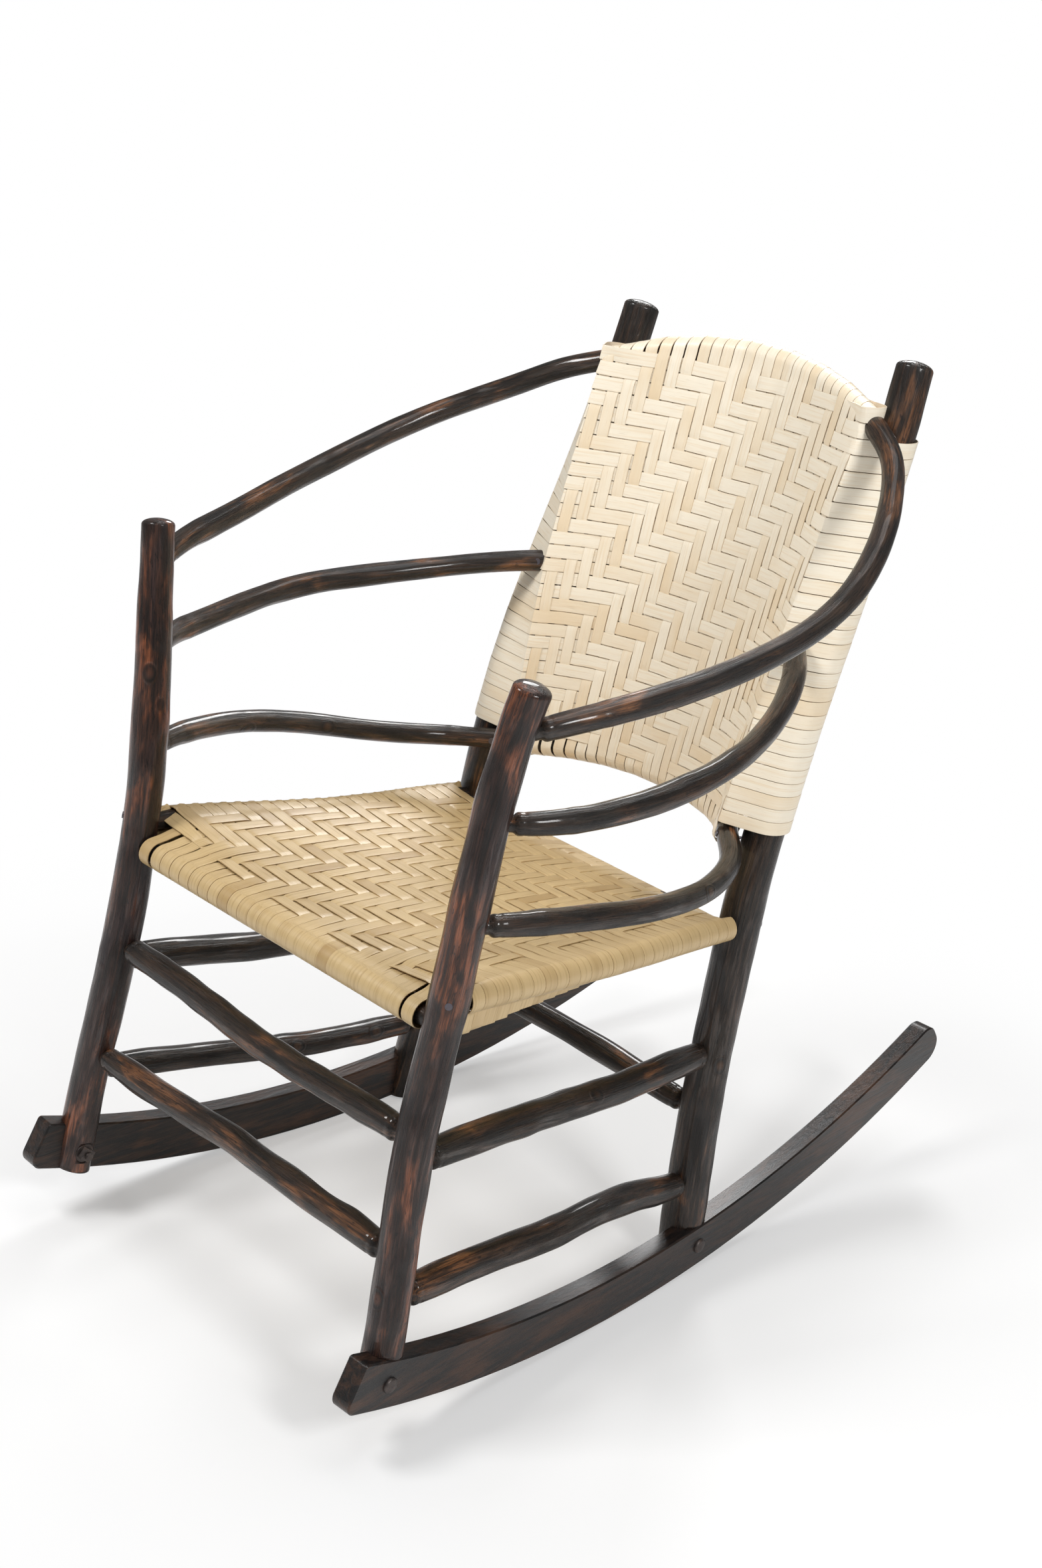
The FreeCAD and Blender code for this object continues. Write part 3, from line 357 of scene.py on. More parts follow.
SHOULDER = 0.007                # length of the round at the end of a rung or hoop
SHOULDER_START = 0.001
END_FALL = 0.05                 # length over which the end grows to its full size
END_SHARE = 0.90
END_SEARCH = 0.12
GROOVE_DEPTH = 0.035            # share of the radius
GROOVE_PLACE = 0.011
GROOVE_WIDTH = 0.0018
DOME_RISE = 0.42                # share of the radius
DOME = [(math.cos(a), DOME_RISE * math.sin(a) ** 0.9) for a in np.linspace(0.12, 1.50, 9)]
POLE_STEP = 0.0035
GRAIN_SHIFT = 1.7


def blunt_ends(centres, radii):
    """Radii with short rounded shoulders where a pole meets the posts, as whittled ends have."""
    reach = lengths(centres)
    full = np.median(radii)
    out = radii.copy()
    for tip, away in ((centres[0], reach), (centres[-1], reach[-1] - reach)):
        def far(pole):
            """How far a post's axis is from the tip."""
            axis = pole[0]
            return np.linalg.norm((tip - rows_at(axis[:, 2], axis, tip[2]))[:2])

        axis, sizes = min((AXES[post] for post in POSTS), key=far)
        spots = rows_at(axis[:, 2], axis, centres[:, 2])
        clear = (np.linalg.norm((centres - spots)[:, :2], axis=1)
                 - np.interp(centres[:, 2], axis[:, 2], sizes))
        past = away - away[(clear > 0) & (away < END_SEARCH)].min()
        round_share = np.clip(1 - (past + SHOULDER_START) / SHOULDER, 0, 1)
        rise = np.sqrt(np.clip(1 - round_share ** 2, 0, 1))
        grown = full * rise * (END_SHARE + (1 - END_SHARE) * np.clip(past / END_FALL, 0, 1))
        groove = 1 - GROOVE_DEPTH * np.exp(-((past - GROOVE_PLACE) / GROOVE_WIDTH) ** 2)
        out = np.where(past < END_FALL * 3, np.maximum(out, grown) * groove, out)
    return out


def add_pole(node, centres, radii, slot, look, seed, rough, sides, smooth_reach, domed=False,
             blunt=False):
    """A round, slightly uneven pole along a centre line that stands for a node."""
    line = smoothed(spaced(centres, radii, POLE_STEP)[0], smooth_reach)
    reach = lengths(centres)
    sizes = np.interp(np.linspace(0, 1, len(line)), reach / reach[-1], radii)
    line, sizes, stops = spaced(line, sizes, POLE_STEP / 2 if blunt else POLE_STEP)
    if blunt:
        sizes = blunt_ends(line, sizes)
    along, side, up = carried_frames(line)
    angles = np.linspace(0, 2 * math.pi, sides, endpoint=False)
    spread = sizes[:, None] + Lumps(seed, stops[-1], rough).at(stops, angles, sizes.mean())
    around = (np.cos(angles)[None, :, None] * side[:, None, :]
              + np.sin(angles)[None, :, None] * up[:, None, :])
    points = line[:, None, :] + spread[:, :, None] * around
    places = np.repeat(stops[:, None], sides, axis=1) + seed * GRAIN_SHIFT
    grain = np.stack([spread * np.cos(angles), spread * np.sin(angles), places], axis=2)
    if domed:
        size = sizes[-1]
        top = [line[-1] + along[-1] * size * rise + (spread[-1] * out)[:, None] * around[-1]
               for out, rise in DOME]
        marks = [grain[-1] * (out, out, 1) + (0, 0, size * rise) for out, rise in DOME]
        points = np.concatenate([points, top])
        grain = np.concatenate([grain, marks])
    piece = add_piece(node + "_pole", points.reshape(-1, 3), tube_faces(len(points), sides))
    point_values(piece, "grain", grain.reshape(-1, 3))
    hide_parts(node)
    piece.data.materials.append(material(look))
    return piece


# Materials

class Wire:
    """A socket that can be used in sums."""

    def __init__(self, graph, socket):
        self.graph = graph
        self.socket = socket

    def __add__(self, other):
        return self.graph.sum("ADD", self, other)

    def __radd__(self, other):
        return self.graph.sum("ADD", other, self)

    def __sub__(self, other):
        return self.graph.sum("SUBTRACT", self, other)

    def __rsub__(self, other):
        return self.graph.sum("SUBTRACT", other, self)

    def __mul__(self, other):
        return self.graph.sum("MULTIPLY", self, other)

    def __rmul__(self, other):
        return self.graph.sum("MULTIPLY", other, self)

    def sine(self):
        """The sine of the value."""
        return self.graph.node("ShaderNodeMath", {"operation": "SINE"}, {0: self})

    def is_vector(self):
        """Whether the socket carries a vector or a colour."""
        return self.socket.type in ("VECTOR", "RGBA")


class Graph:
    """The nodes of one material, or of the tree that is given."""

    def __init__(self, name, tree=None):
        if tree is None:
            self.material = bpy.data.materials.new(name)
            self.material.use_nodes = True
            tree = self.material.node_tree
        self.tree = tree
        self.tree.nodes.clear()

    def node(self, kind, settings=None, inputs=None, output=0):
        """Any node: its type, settings and socket values or links."""
        made = self.tree.nodes.new(kind)
        for key, value in (settings or {}).items():
            setattr(made, key, value)
        for key, value in (inputs or {}).items():
            socket = made.inputs[key]
            if isinstance(value, Wire):
                self.tree.links.new(value.socket, socket)
            else:
                socket.default_value = value
        return Wire(self, made.outputs[output]) if len(made.outputs) else None

    def sum(self, kind, first, last):
        """One step of arithmetic on numbers or vectors."""
        pair = (first, last)
        if not any(isinstance(item, tuple) or (isinstance(item, Wire) and item.is_vector())
                   for item in pair):
            return self.node("ShaderNodeMath", {"operation": kind}, {0: first, 1: last})
        first, last = [(item,) * 3 if isinstance(item, (int, float)) else item for item in pair]
        return self.node("ShaderNodeVectorMath", {"operation": kind}, {0: first, 1: last})

    def mix(self, first, last, factor):
        """A colour between two colours."""
        first, last = [item + (1.0,) if isinstance(item, tuple) else item
                       for item in (first, last)]
        settings = {"data_type": "RGBA", "blend_type": "MIX", "clamp_factor": True}
        return self.node("ShaderNodeMix", settings, {0: factor, 6: first, 7: last}, 2)

    def rise(self, value, low, high, start=0.0, end=1.0):
        """A smooth step from start to end as value goes from low to high."""
        return self.node("ShaderNodeMapRange", {"interpolation_type": "SMOOTHSTEP"},
                         {0: value, 1: low, 2: high, 3: start, 4: end})

    def noise(self, place, scale, detail, rough, distortion=0.0):
        """Cloudy noise from 0 to 1."""
        return self.node("ShaderNodeTexNoise", {"noise_dimensions": "3D"},
                         {"Vector": place, "Scale": scale, "Detail": detail,
                          "Roughness": rough, "Distortion": distortion})

    def attribute(self, name, vector=True):
        """A value stored at the points of the mesh."""
        output = 1 if vector else 2
        return self.node("ShaderNodeAttribute", {"attribute_name": name}, output=output)

    def bump(self, height, distance, strength):
        """A surface normal from a height."""
        return self.node("ShaderNodeBump", {}, {"Height": height, "Distance": distance,
                                                "Strength": strength})

    def finish(self, inputs):
        """The surface itself."""
        surface = self.node("ShaderNodeBsdfPrincipled", {}, inputs)
        self.node("ShaderNodeOutputMaterial", {}, {"Surface": surface})
        return self.material


def stained_wood(name, deep, warm, glow, painted_sheen, patch_level, gloss):
    """Dark stained hickory under satin varnish, with thin stain showing warm wood in places and a
    painted bluish highlight in cloudy patches.
    """
    g = Graph(name)
    grain = g.attribute("grain")
    fibre = g.noise(grain * (1.0, 1.0, 0.045), 800.0, 4.0, 0.65)
    streak = g.noise(grain * (1.0, 1.0, 0.08), 190.0, 4.0, 0.6, 0.5)
    band = g.noise(grain * (1.0, 1.0, 0.20), 58.0, 3.0, 0.55, 0.8)
    cloud = g.noise(grain * (1.0, 1.0, 0.40), 22.0, 3.0, 0.6, 0.6)
    fleck = g.noise(grain * (1.0, 1.0, 0.30), 380.0, 2.0, 0.5)
    worn = g.rise(cloud + band * 0.45, patch_level, patch_level + 0.14)
    thin = worn * g.rise(streak, 0.40, 0.60, 0.15, 1.0)
    base = g.mix(deep, warm, g.rise(streak * 0.6 + band * 0.5, 0.44, 0.72) * 0.8)
    # Painted highlight: a bluish sheen colour mixed into the base colour in cloudy patches.
    base = g.mix(base, painted_sheen, g.rise(cloud, 0.56, 0.34) * g.rise(band, 0.40, 0.60) * 0.6)
    base = g.mix(base, glow, thin)
    base = g.mix(base, (0.004, 0.003, 0.003), g.rise(fibre, 0.54, 0.36) * 0.7)
    base = g.mix(base, (0.003, 0.002, 0.002), g.rise(fleck, 0.62, 0.70) * 0.7)
    cell = g.node("ShaderNodeTexVoronoi", {}, {"Vector": grain * (1.0, 1.0, 0.75), "Scale": 15.0})
    ring = (cell * 48.0).sine() * 0.5 + 0.5
    knot = g.rise(cell, 0.15, 0.11)
    base = g.mix(base, g.mix((0.006, 0.004, 0.003), warm, ring), knot * 0.8)
    height = fibre * 0.8 + streak * 0.9 + band * 0.5 + knot * (ring * 0.5 + 0.8)
    coat = (g.rise(cloud, 0.30, 0.60, 0.08, 0.5)
            + g.rise(streak, 0.50, 0.62) * g.rise(band, 0.40, 0.58) * 0.5)
    return g.finish({"Base Color": base, "Roughness": gloss + band * 0.12 + fibre * 0.18,
                     "Coat Weight": coat, "Coat Roughness": 0.11, "IOR": 1.5,
                     "Specular IOR Level": 0.28, "Normal": g.bump(height, 0.0017, 1.0)})


def board_wood(name):
    """Dark stained flat board under varnish."""
    g = Graph(name)
    place = g.node("ShaderNodeTexCoord", output=3)
    fibre = g.noise(place * (1.0, 0.05, 1.0), 700.0, 4.0, 0.6)
    streak = g.noise(place * (1.0, 0.08, 1.0), 150.0, 4.0, 0.55, 0.5)
    cloud = g.noise(place * (1.0, 0.3, 1.0), 24.0, 3.0, 0.6, 0.6)
    base = g.mix((0.007, 0.006, 0.006), (0.034, 0.018, 0.012), g.rise(streak, 0.36, 0.66))
    base = g.mix(base, (0.075, 0.034, 0.018), g.rise(cloud + streak * 0.4, 0.66, 0.90) * 0.7)
    base = g.mix(base, (0.004, 0.004, 0.004), g.rise(fibre, 0.5, 0.34) * 0.6)
    return g.finish({"Base Color": base, "Roughness": 0.30 + streak * 0.20, "Coat Weight": 0.25,
                     "Coat Roughness": 0.20, "Specular IOR Level": 0.30,
                     "Normal": g.bump(fibre * 0.5 + streak, 0.0011, 0.8)})


def splint(name, dark, rough_base, pale, tan):
    """Bark splint with fine fibres and painted shade along the edges of each strip; tint varies
    from strip to strip, with painted shade added on the upright strips of the back.
    """
    g = Graph(name)
    grain = g.attribute("grain")
    tint = g.attribute("tint", False)
    edge = g.attribute("edge", False)
    fibre = g.noise(grain * (1.0, 0.035, 1.0), 1500.0, 3.0, 0.6)
    streak = g.noise(grain * (1.0, 0.03, 1.0), 420.0, 4.0, 0.6)
    cloud = g.noise(grain * (1.0, 0.35, 1.0), 30.0, 2.0, 0.5)
    base = g.mix(pale, tan, g.rise(tint + (cloud - 0.5) * 0.9, 0.15, 0.95))
    base = g.mix(base, tan, g.rise(streak, 0.46, 0.72) * 0.55)
    # Darkening at the fibres is the splint's own grain; darkening at each strip's outer edges is
    # painted shade for the slits between strips.
    shade = g.rise(fibre, 0.60, 0.78) * 0.35 + g.rise(edge, 0.92, 1.0) * 0.40
    return g.finish({"Base Color": g.mix(base, dark, shade),
                     "Roughness": rough_base + streak * 0.12, "Coat Weight": 0.28,
                     "Coat Roughness": 0.27, "Specular IOR Level": 0.40,
                     "Normal": g.bump(fibre * 0.6 + streak, 0.0004, 0.55)})


def dark_steel(name, color, rough):
    """Browned steel with a dull uneven surface."""
    g = Graph(name)
    place = g.node("ShaderNodeTexCoord", output=3)
    cloud = g.noise(place, 160.0, 3.0, 0.6)
    fine = g.noise(place, 900.0, 2.0, 0.5)
    base = g.mix(color, (0.10, 0.055, 0.035), g.rise(cloud, 0.5, 0.75) * 0.6)
    return g.finish({"Base Color": base, "Metallic": g.rise(cloud, 0.7, 0.4, 0.5, 0.95),
                     "Roughness": rough + fine * 0.2,
                     "Normal": g.bump(cloud + fine * 0.4, 0.0004, 0.4)})


# Each look: its maker, its values and the user's settings that follow them.
LOOKS = {
    # In the wood looks the fourth colour is a painted bluish highlight, mixed into the base colour.
    "pole_dark": (stained_wood, ((0.010, 0.007, 0.005), (0.078, 0.038, 0.019),
                                 (0.21, 0.085, 0.032), (0.017, 0.021, 0.020), 0.77), ("gloss",)),
    "post_warm": (stained_wood, ((0.013, 0.007, 0.005), (0.085, 0.033, 0.019),
                                 (0.25, 0.075, 0.027), (0.020, 0.018, 0.022), 0.725), ("gloss",)),
    "board": (board_wood, (), ()),
    # The dark colour of each splint serves both its fibres and the painted shade at the strips'
    # edges.
    "splint_back": (splint, ((0.42, 0.27, 0.13), 0.42), ("back_pale", "back_tan")),
    "splint_seat": (splint, ((0.30, 0.17, 0.07), 0.38), ("seat_pale", "seat_tan")),
    "bolt_steel": (dark_steel, ((0.10, 0.085, 0.08), 0.38), ()),
    "nail_steel": (dark_steel, ((0.14, 0.13, 0.15), 0.35), ()),
}
MATERIALS = {}


def material(name):
    """Make each material once."""
    if name not in MATERIALS:
        maker, values, keys = LOOKS[name]
        chosen = [getattr(bpy.context.scene.chair_look, key) for key in keys]
        chosen = [item if isinstance(item, float) else tuple(item) for item in chosen]
        MATERIALS[name] = maker(name, *values, *chosen)
    return MATERIALS[name]


# Settings

class ChairLook(bpy.types.PropertyGroup):
    """Colours and gloss of the chair."""
    gloss: bpy.props.FloatProperty(
        name="Wood gloss", description="Lowest roughness of the varnish",
        default=0.22, min=0.05, max=1.0)
    back_pale: bpy.props.FloatVectorProperty(
        name="Back splint, pale", description="Palest strips of the back",
        subtype="COLOR", size=3, default=(0.94, 0.855, 0.70))
    back_tan: bpy.props.FloatVectorProperty(
        name="Back splint, tan", description="Darkest strips of the back",
        subtype="COLOR", size=3, default=(0.84, 0.675, 0.455))
    seat_pale: bpy.props.FloatVectorProperty(
        name="Seat splint, pale", description="Palest strips of the seat",
        subtype="COLOR", size=3, default=(0.61, 0.445, 0.225))
    seat_tan: bpy.props.FloatVectorProperty(
        name="Seat splint, tan", description="Darkest strips of the seat",
        subtype="COLOR", size=3, default=(0.41, 0.265, 0.11))


class ChairWeave(bpy.types.PropertyGroup):
    """Sizes of the woven splint."""
    thickness: bpy.props.FloatProperty(
        name="Splint thickness", description="Thickness of one strip",
        default=0.0009, unit="LENGTH")
    lift: bpy.props.FloatProperty(
        name="Crossing lift", description="How far strips rise over and dip under",
        default=0.00085, unit="LENGTH")
    seat_long: bpy.props.IntProperty(
        name="Seat strips, front to back", description="Strips over the front rail", default=27)
    seat_cross: bpy.props.IntProperty(
        name="Seat strips, side to side", description="Strips over the side rails", default=25)
    back_long: bpy.props.IntProperty(
        name="Back strips, upright", description="Strips over the top hoop", default=26)
    back_cross: bpy.props.IntProperty(
        name="Back strips, level", description="Strips round the back posts", default=29)


# Poles

POST_SEED, RUNG_SEED, HOOP_SEED = 11, 31, 61
# Unevenness, sides round the girth and smoothing of the line of each kind of pole.
POST_FORM, RUNG_FORM, HOOP_FORM = (0.00032, 48, 8), (0.00042, 36, 5), (0.00022, 40, 9)
FOOT_OVERRUN = 0.02
LEAST_TOP = 0.001
SLOT_SPREAD = 3.0               # how far the rocker's thickness is stretched as a cutter
SLOT_DEPTH = 0.10
TOP_EDGE = 0.02                 # points this far under the rocker's top move down
INNER_SHARE = -0.9
ROCKER_STOPS, ROCKER_NEAR = 60, 0.03
SOLE_STOPS, SOLE_NEAR, SOLE_FRONT, SOLE_REAR = 70, 0.025, 0.02, 0.06
SOLE_CURVE = 4                  # degree of the curve through the underside
SOLE_RISE = 0.0016
SOLE_HALF = 0.08
SOLE_DEPTH = 0.12
WASHER_SEAT = 0.0115
WASHER_CUT = 0.05


class CHAIR_OT_posts(bpy.types.Operator):
    """Four posts with domed tops, lapped over the rockers"""
    bl_idname = "chair.posts"
    bl_label = "Posts"

    def execute(self, context):
        for number, name in enumerate(POSTS):
            centres, radii = pole_axis(name)
            low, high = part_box(name)
            slope = abs(unit(centres[3] - centres[0])[2])
            foot = (centres[0][2] - low[2] + FOOT_OVERRUN) / slope
            top = max(high[2] - centres[-1][2] - radii[-1] * DOME_RISE, LEAST_TOP)
            centres, radii = extended(*extended(centres, radii, foot, 0), 0, top)
            look = "post_warm" if "front" in name else "pole_dark"
            piece = add_pole(name, centres, radii, "hickory_posts", look, POST_SEED + number,
                             *POST_FORM, domed=True)
            cut_foot(piece, name)
        return {"FINISHED"}


def cut_foot(piece, name):
    """Cut the lap over the rocker, the curved sole and the washer flat from a post."""
    # Without a second attribute on the mesh, the cuts lose the values of the grain.
    piece.data.attributes.new("spare", "FLOAT", "POINT")
    side = name.split("_")[-1]
    sense = 1.0 if side == "left" else -1.0
    points, corners = node_arrays("rocker_" + side)
    edges = points[corners]
    normal = np.cross(edges[:, 1] - edges[:, 0], edges[:, 2] - edges[:, 0])
    inner = normal[:, 0] * sense < INNER_SHARE * np.linalg.norm(normal, axis=1)
    way = normal[inner].sum(axis=0)
    way[2] = 0.0
    way = unit(way)
    spots = edges[inner].reshape(-1, 3)
    face = spots[(spots @ way).argmax()]
    moved = points - way * ((face - points) @ way * SLOT_SPREAD)[:, None]
    top = top_of_rocker(points)
    moved[np.interp(points[:, 1], *top) - points[:, 2] > TOP_EDGE, 2] -= SLOT_DEPTH
    cutter = bpy.data.meshes.new("foot_cutter")
    cutter.from_pydata([tuple(row) for row in moved], [], [tuple(row) for row in corners])
    cut_away(piece, linked("foot_cutter", cutter))
    cut_away(piece, sole_cutter(points, face[0]))
    cut_away(piece, washer_cutter(sense, way, "front" in name))


def top_of_rocker(points):
    """Places along a rocker and the heights of its upper edge there."""
    rows = []
    for place in np.linspace(points[:, 1].min(), points[:, 1].max(), ROCKER_STOPS):
        near = points[np.abs(points[:, 1] - place) < ROCKER_NEAR]
        if len(near):
            rows.append((place, near[:, 2].max()))
    return np.array(rows).T


def ring_solid(name, rings):
    """A closed solid through rings of points, to cut with."""
    mesh = bmesh.new()
    spots = [mesh.verts.new(spot) for ring in rings for spot in ring]
    for face in tube_faces(len(rings), len(rings[0])):
        mesh.faces.new([spots[corner] for corner in face])
    bmesh.ops.recalc_face_normals(mesh, faces=mesh.faces)
    data = bpy.data.meshes.new(name)
    mesh.to_mesh(data)
    mesh.free()
    return linked(name, data)


def sole_cutter(points, middle):
    """Everything below the curve of a rocker's underside."""
    places = np.linspace(points[:, 1].min() + SOLE_FRONT, points[:, 1].max() - SOLE_REAR,
                         SOLE_STOPS)
    rows = []
    for place in places:
        near = points[np.abs(points[:, 1] - place) < SOLE_NEAR]
        rows.append(near[near[:, 2].argmin()])
    rows = np.array(rows)
    curve = np.polyfit(rows[:, 1], rows[:, 2], SOLE_CURVE)
    heights = np.polyval(curve, places) + SOLE_RISE
    corners = ((-1, 0), (1, 0), (1, -1), (-1, -1))
    return ring_solid("sole_cutter", [
        [(middle + out * SOLE_HALF, place, height + down * SOLE_DEPTH) for out, down in corners]
        for place, height in zip(places, heights)])


def washer_cutter(sense, way, front):
    """The flat that seats a washer on the inner side of a foot."""
    points = node_arrays("rocker_washers")[0]
    ahead = points[:, 1] < points[:, 1].mean()
    rows = points[(points[:, 0] * sense > 0) & (ahead == front)]
    centre = (rows.max(axis=0) + rows.min(axis=0)) / 2
    start = centre + way * ((rows - centre) @ way).min()
    up = np.array((0, 0, 1.0))
    across = np.cross(way, up)
    angles = np.linspace(0, 2 * math.pi, 40, endpoint=False)
    return ring_solid("washer_cutter", [
        [start + way * reach + WASHER_SEAT * (math.cos(angle) * up + math.sin(angle) * across)
         for angle in angles] for reach in (0.0, WASHER_CUT)])


def cut_away(piece, tool):
    """Cut one object with another and throw the cutter away."""
    change = piece.modifiers.new("cut", "BOOLEAN")
    change.operation = "DIFFERENCE"
    change.object = tool
    change.solver = "EXACT"
    bpy.context.view_layer.update()
    depsgraph = bpy.context.evaluated_depsgraph_get()
    result = bpy.data.meshes.new_from_object(piece.evaluated_get(depsgraph))
    piece.modifiers.remove(change)
    old = piece.data
    piece.data = result
    bpy.data.meshes.remove(old)
    bpy.data.objects.remove(tool)


class CHAIR_OT_rungs(bpy.types.Operator):
    """Seat rails and stretchers, pared to tenons at their ends"""
    bl_idname = "chair.rungs"
    bl_label = "Rails and stretchers"

    def execute(self, context):
        for number, name in enumerate(RAILS + STRETCHERS):
            slot = "hickory_rails" if name in RAILS else "hickory_stretchers"
            add_pole(name, *pole_axis(name), slot, "pole_dark", RUNG_SEED + number, *RUNG_FORM,
                     blunt=name not in RAILS)
        return {"FINISHED"}


class CHAIR_OT_hoops(bpy.types.Operator):
    """Three bent hoops that form the arms and carry the back"""
    bl_idname = "chair.hoops"
    bl_label = "Hoops"

    def execute(self, context):
        for number, name in enumerate(HOOPS):
            centres, radii = pole_axis(name)
            add_pole(name, smoothed(centres, 4), radii, "hickory_hoops", "pole_dark",
                     HOOP_SEED + number, *HOOP_FORM, blunt=True)
        return {"FINISHED"}


class CHAIR_OT_rockers(bpy.types.Operator):
    """Board rockers with the nuts, washers, bolts and nails"""
    bl_idname = "chair.rockers"
    bl_label = "Rockers and fasteners"

    def execute(self, context):
        for look, names in (("board", ("rocker_left", "rocker_right")),
                            ("bolt_steel", ("rocker_bolts", "rocker_washers", "rocker_nuts")),
                            ("nail_steel", ("hoop_nails", "rail_nails"))):
            for name in names:
                data = NODES[name].data
                data.materials.clear()
                data.materials.append(material(look))
        return {"FINISHED"}


# Weaves

WEAVE_STEP = 0.004
SLOPE_REACH = 0.004
RAIL_REACH = 0.01
# Shares of a strip's width and thickness, round its section.
PROFILE = ((-0.5, -0.5), (-0.5, 0.15), (-0.49, 0.44), (-0.45, 0.5), (-0.25, 0.56), (0.25, 0.56),
           (0.45, 0.5), (0.49, 0.44), (0.5, 0.15), (0.5, -0.5))
SWAY = 0.0005
SWAY_WAVES = (3, 7, 12)
WIDTH_LOSS = 0.04               # the most that a loose strip is narrower
GRAIN_FIELD = 50
TINT_SHAPE, TINT_SPREAD = (1.5, 2.6), 0.7
SHARP_ANGLE = math.radians(40)


def crossing_heights(stops, centres, over):
    """Rise and dip of a strip along its length, from the strips that it crosses."""
    order = np.argsort(centres)
    centres = np.asarray(centres, dtype=float)[order]
    signs = np.where(over, 1.0, -1.0)[order]
    pitch = np.median(np.diff(centres))
    places = np.concatenate([[centres[0] - pitch], centres, [centres[-1] + pitch]])
    values = np.concatenate([[0], signs, [0]])
    index = np.clip(np.searchsorted(places, stops) - 1, 0, len(places) - 2)
    share = np.clip((stops - places[index]) / (places[index + 1] - places[index]), 0, 1)
    share = eased(np.clip((share - 0.5) * 2.0 + 0.5, 0, 1))
    return values[index] * (1 - share) + values[index + 1] * share


def twill(number):
    """Whether the cross strip lies on top, for a sum of strip numbers."""
    return number % 6 < 3


def half_turn(centre, over, onward):
    """Points round a pole from centre + over, by centre + onward, to the far side."""
    angles = np.linspace(0, math.pi, 14)[1:-1, None]
    return centre + np.cos(angles) * over + np.sin(angles) * onward


def closed_line(parts):
    """The parts of a closed line, resampled at even steps."""
    points = np.concatenate(parts)
    points = np.concatenate([points, points[:1]])
    reach = lengths(points)
    stops = np.linspace(0, reach[-1], max(int(reach[-1] / WEAVE_STEP), 4) + 1)
    return rows_at(reach, points, stops[:-1])


def round_smoothed(rows):
    """Rows of a closed line, evened out."""
    return smoothed(np.concatenate([rows[-4:], rows, rows[:4]]), 3)[4:-4]


def ribbon(line, across, widths, thickness):
    """Points, faces, grain and edge values of a closed strip, crowned and with round edges."""
    along = unit(np.roll(line, -1, axis=0) - np.roll(line, 1, axis=0))
    across = unit(across - along * (across * along).sum(axis=1)[:, None])
    normal = np.cross(across, along)
    points = np.stack([line + across * (widths * out)[:, None] + normal * (thickness * rise)
                       for out, rise in PROFILE], axis=1)
    outs = np.array([out for out, rise in PROFILE])
    grain = np.zeros(points.shape)
    grain[:, :, 0] = widths[:, None] * outs
    grain[:, :, 1] = lengths(line)[:, None]
    edge = np.repeat(np.abs(outs)[None, :] * 2, len(line), axis=0)
    faces = tube_faces(len(line), len(PROFILE), True)
    return points.reshape(-1, 3), faces, grain.reshape(-1, 3), edge.ravel()


class Sheet:
    """Collects strips into one mesh."""

    def __init__(self, seed, thickness):
        self.thickness = thickness
        self.points, self.faces, self.grain, self.edge, self.tint = [], [], [], [], []
        self.start = 0
        self.rng = np.random.default_rng(seed)

    def add(self, line, across, widths, loose, shade=0.0):
        """One more closed strip with its own tint, swaying a little where it is loose; shade adds
        painted shade to the tint.
        """
        turn = np.linspace(0, 2 * math.pi, len(line), endpoint=False)
        starts = self.rng.uniform(0, 2 * math.pi, len(SWAY_WAVES))
        sway = sum(np.sin(turn * waves + start)
                   for waves, start in zip(SWAY_WAVES, starts)) / len(SWAY_WAVES)
        across = unit(across)
        line = line + across * (sway * SWAY * loose)[:, None]
        widths = widths * (1 - self.rng.uniform(0, WIDTH_LOSS) * loose)
        points, faces, grain, edge = ribbon(line, across, widths, self.thickness)
        self.faces += [tuple(corner + self.start for corner in face) for face in faces]
        self.points.append(points)
        self.grain.append(grain + [self.rng.uniform(0, GRAIN_FIELD) for _ in range(3)])
        self.edge.append(edge)
        # The tint is a random tone for each strip plus shade, which is painted shade.
        tint = self.rng.beta(*TINT_SHAPE) * TINT_SPREAD + shade
        self.tint.append(np.full(len(points), tint))
        self.start += len(points)

    def weave(self, part, shape, add_long, add_cross):
        """Every strip of the seat or the back, as one piece."""
        for number in range(shape.long_count):
            add_long(self, shape, number)
        for number in range(shape.cross_count):
            add_cross(self, shape, number)
        piece = add_piece(part + "_strips", np.concatenate(self.points), self.faces)
        for key in ("grain", "edge", "tint"):
            point_values(piece, key, np.concatenate(getattr(self, key)))
        piece.data.set_sharp_from_angle(angle=SHARP_ANGLE)
        piece.data.materials.append(material("splint_" + part))
        node = part + "_weave"
        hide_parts(node)


# Seat

SEAT_SEED = 7
SEAT_REACH = 0.0134             # from a rail's axis to the middle of a layer
SIDE_REACH = 0.0140
LONG_GAP, CROSS_GAP = 0.001, 0.0012
SEAT_FRONT_HALF, SEAT_BACK_HALF = 0.203, 0.177
SEAT_SHIFT = -0.0044
SEAT_BULGE = 0.03
SEAT_END_GAP, END_GAP_RATE = 0.004, 3
SEAT_BELLY, BELLY_POWER = 0.009, 0.7
SEAT_FRONT_FADE, SEAT_BACK_FADE = 0.055, 0.045
SEAT_SIDE = 0.215
SIDE_POWER = 2.6
SEAT_PHASE = 1
SEAT_FIRST, SEAT_LAST = 0.012, 0.462            # of the cross strips, at the middle
SEAT_SIDE_FIRST, SEAT_SIDE_LAST = 0.023, 0.452  # and at the sides
SEAT_SKEW, SKEW_LOSS = 0.04, 0.8
SEAT_RUN = 140
TURN_MARGIN = 0.004
WAVE_FADE = 0.02
WOVEN_FADE = 0.012
WOVEN_MARGIN = 0.002
WOVEN_SIDE = 0.205
SEAT_LONG_WIDTH, SEAT_LONG_LOSS = 0.995, 0.03   # shares of the pitch
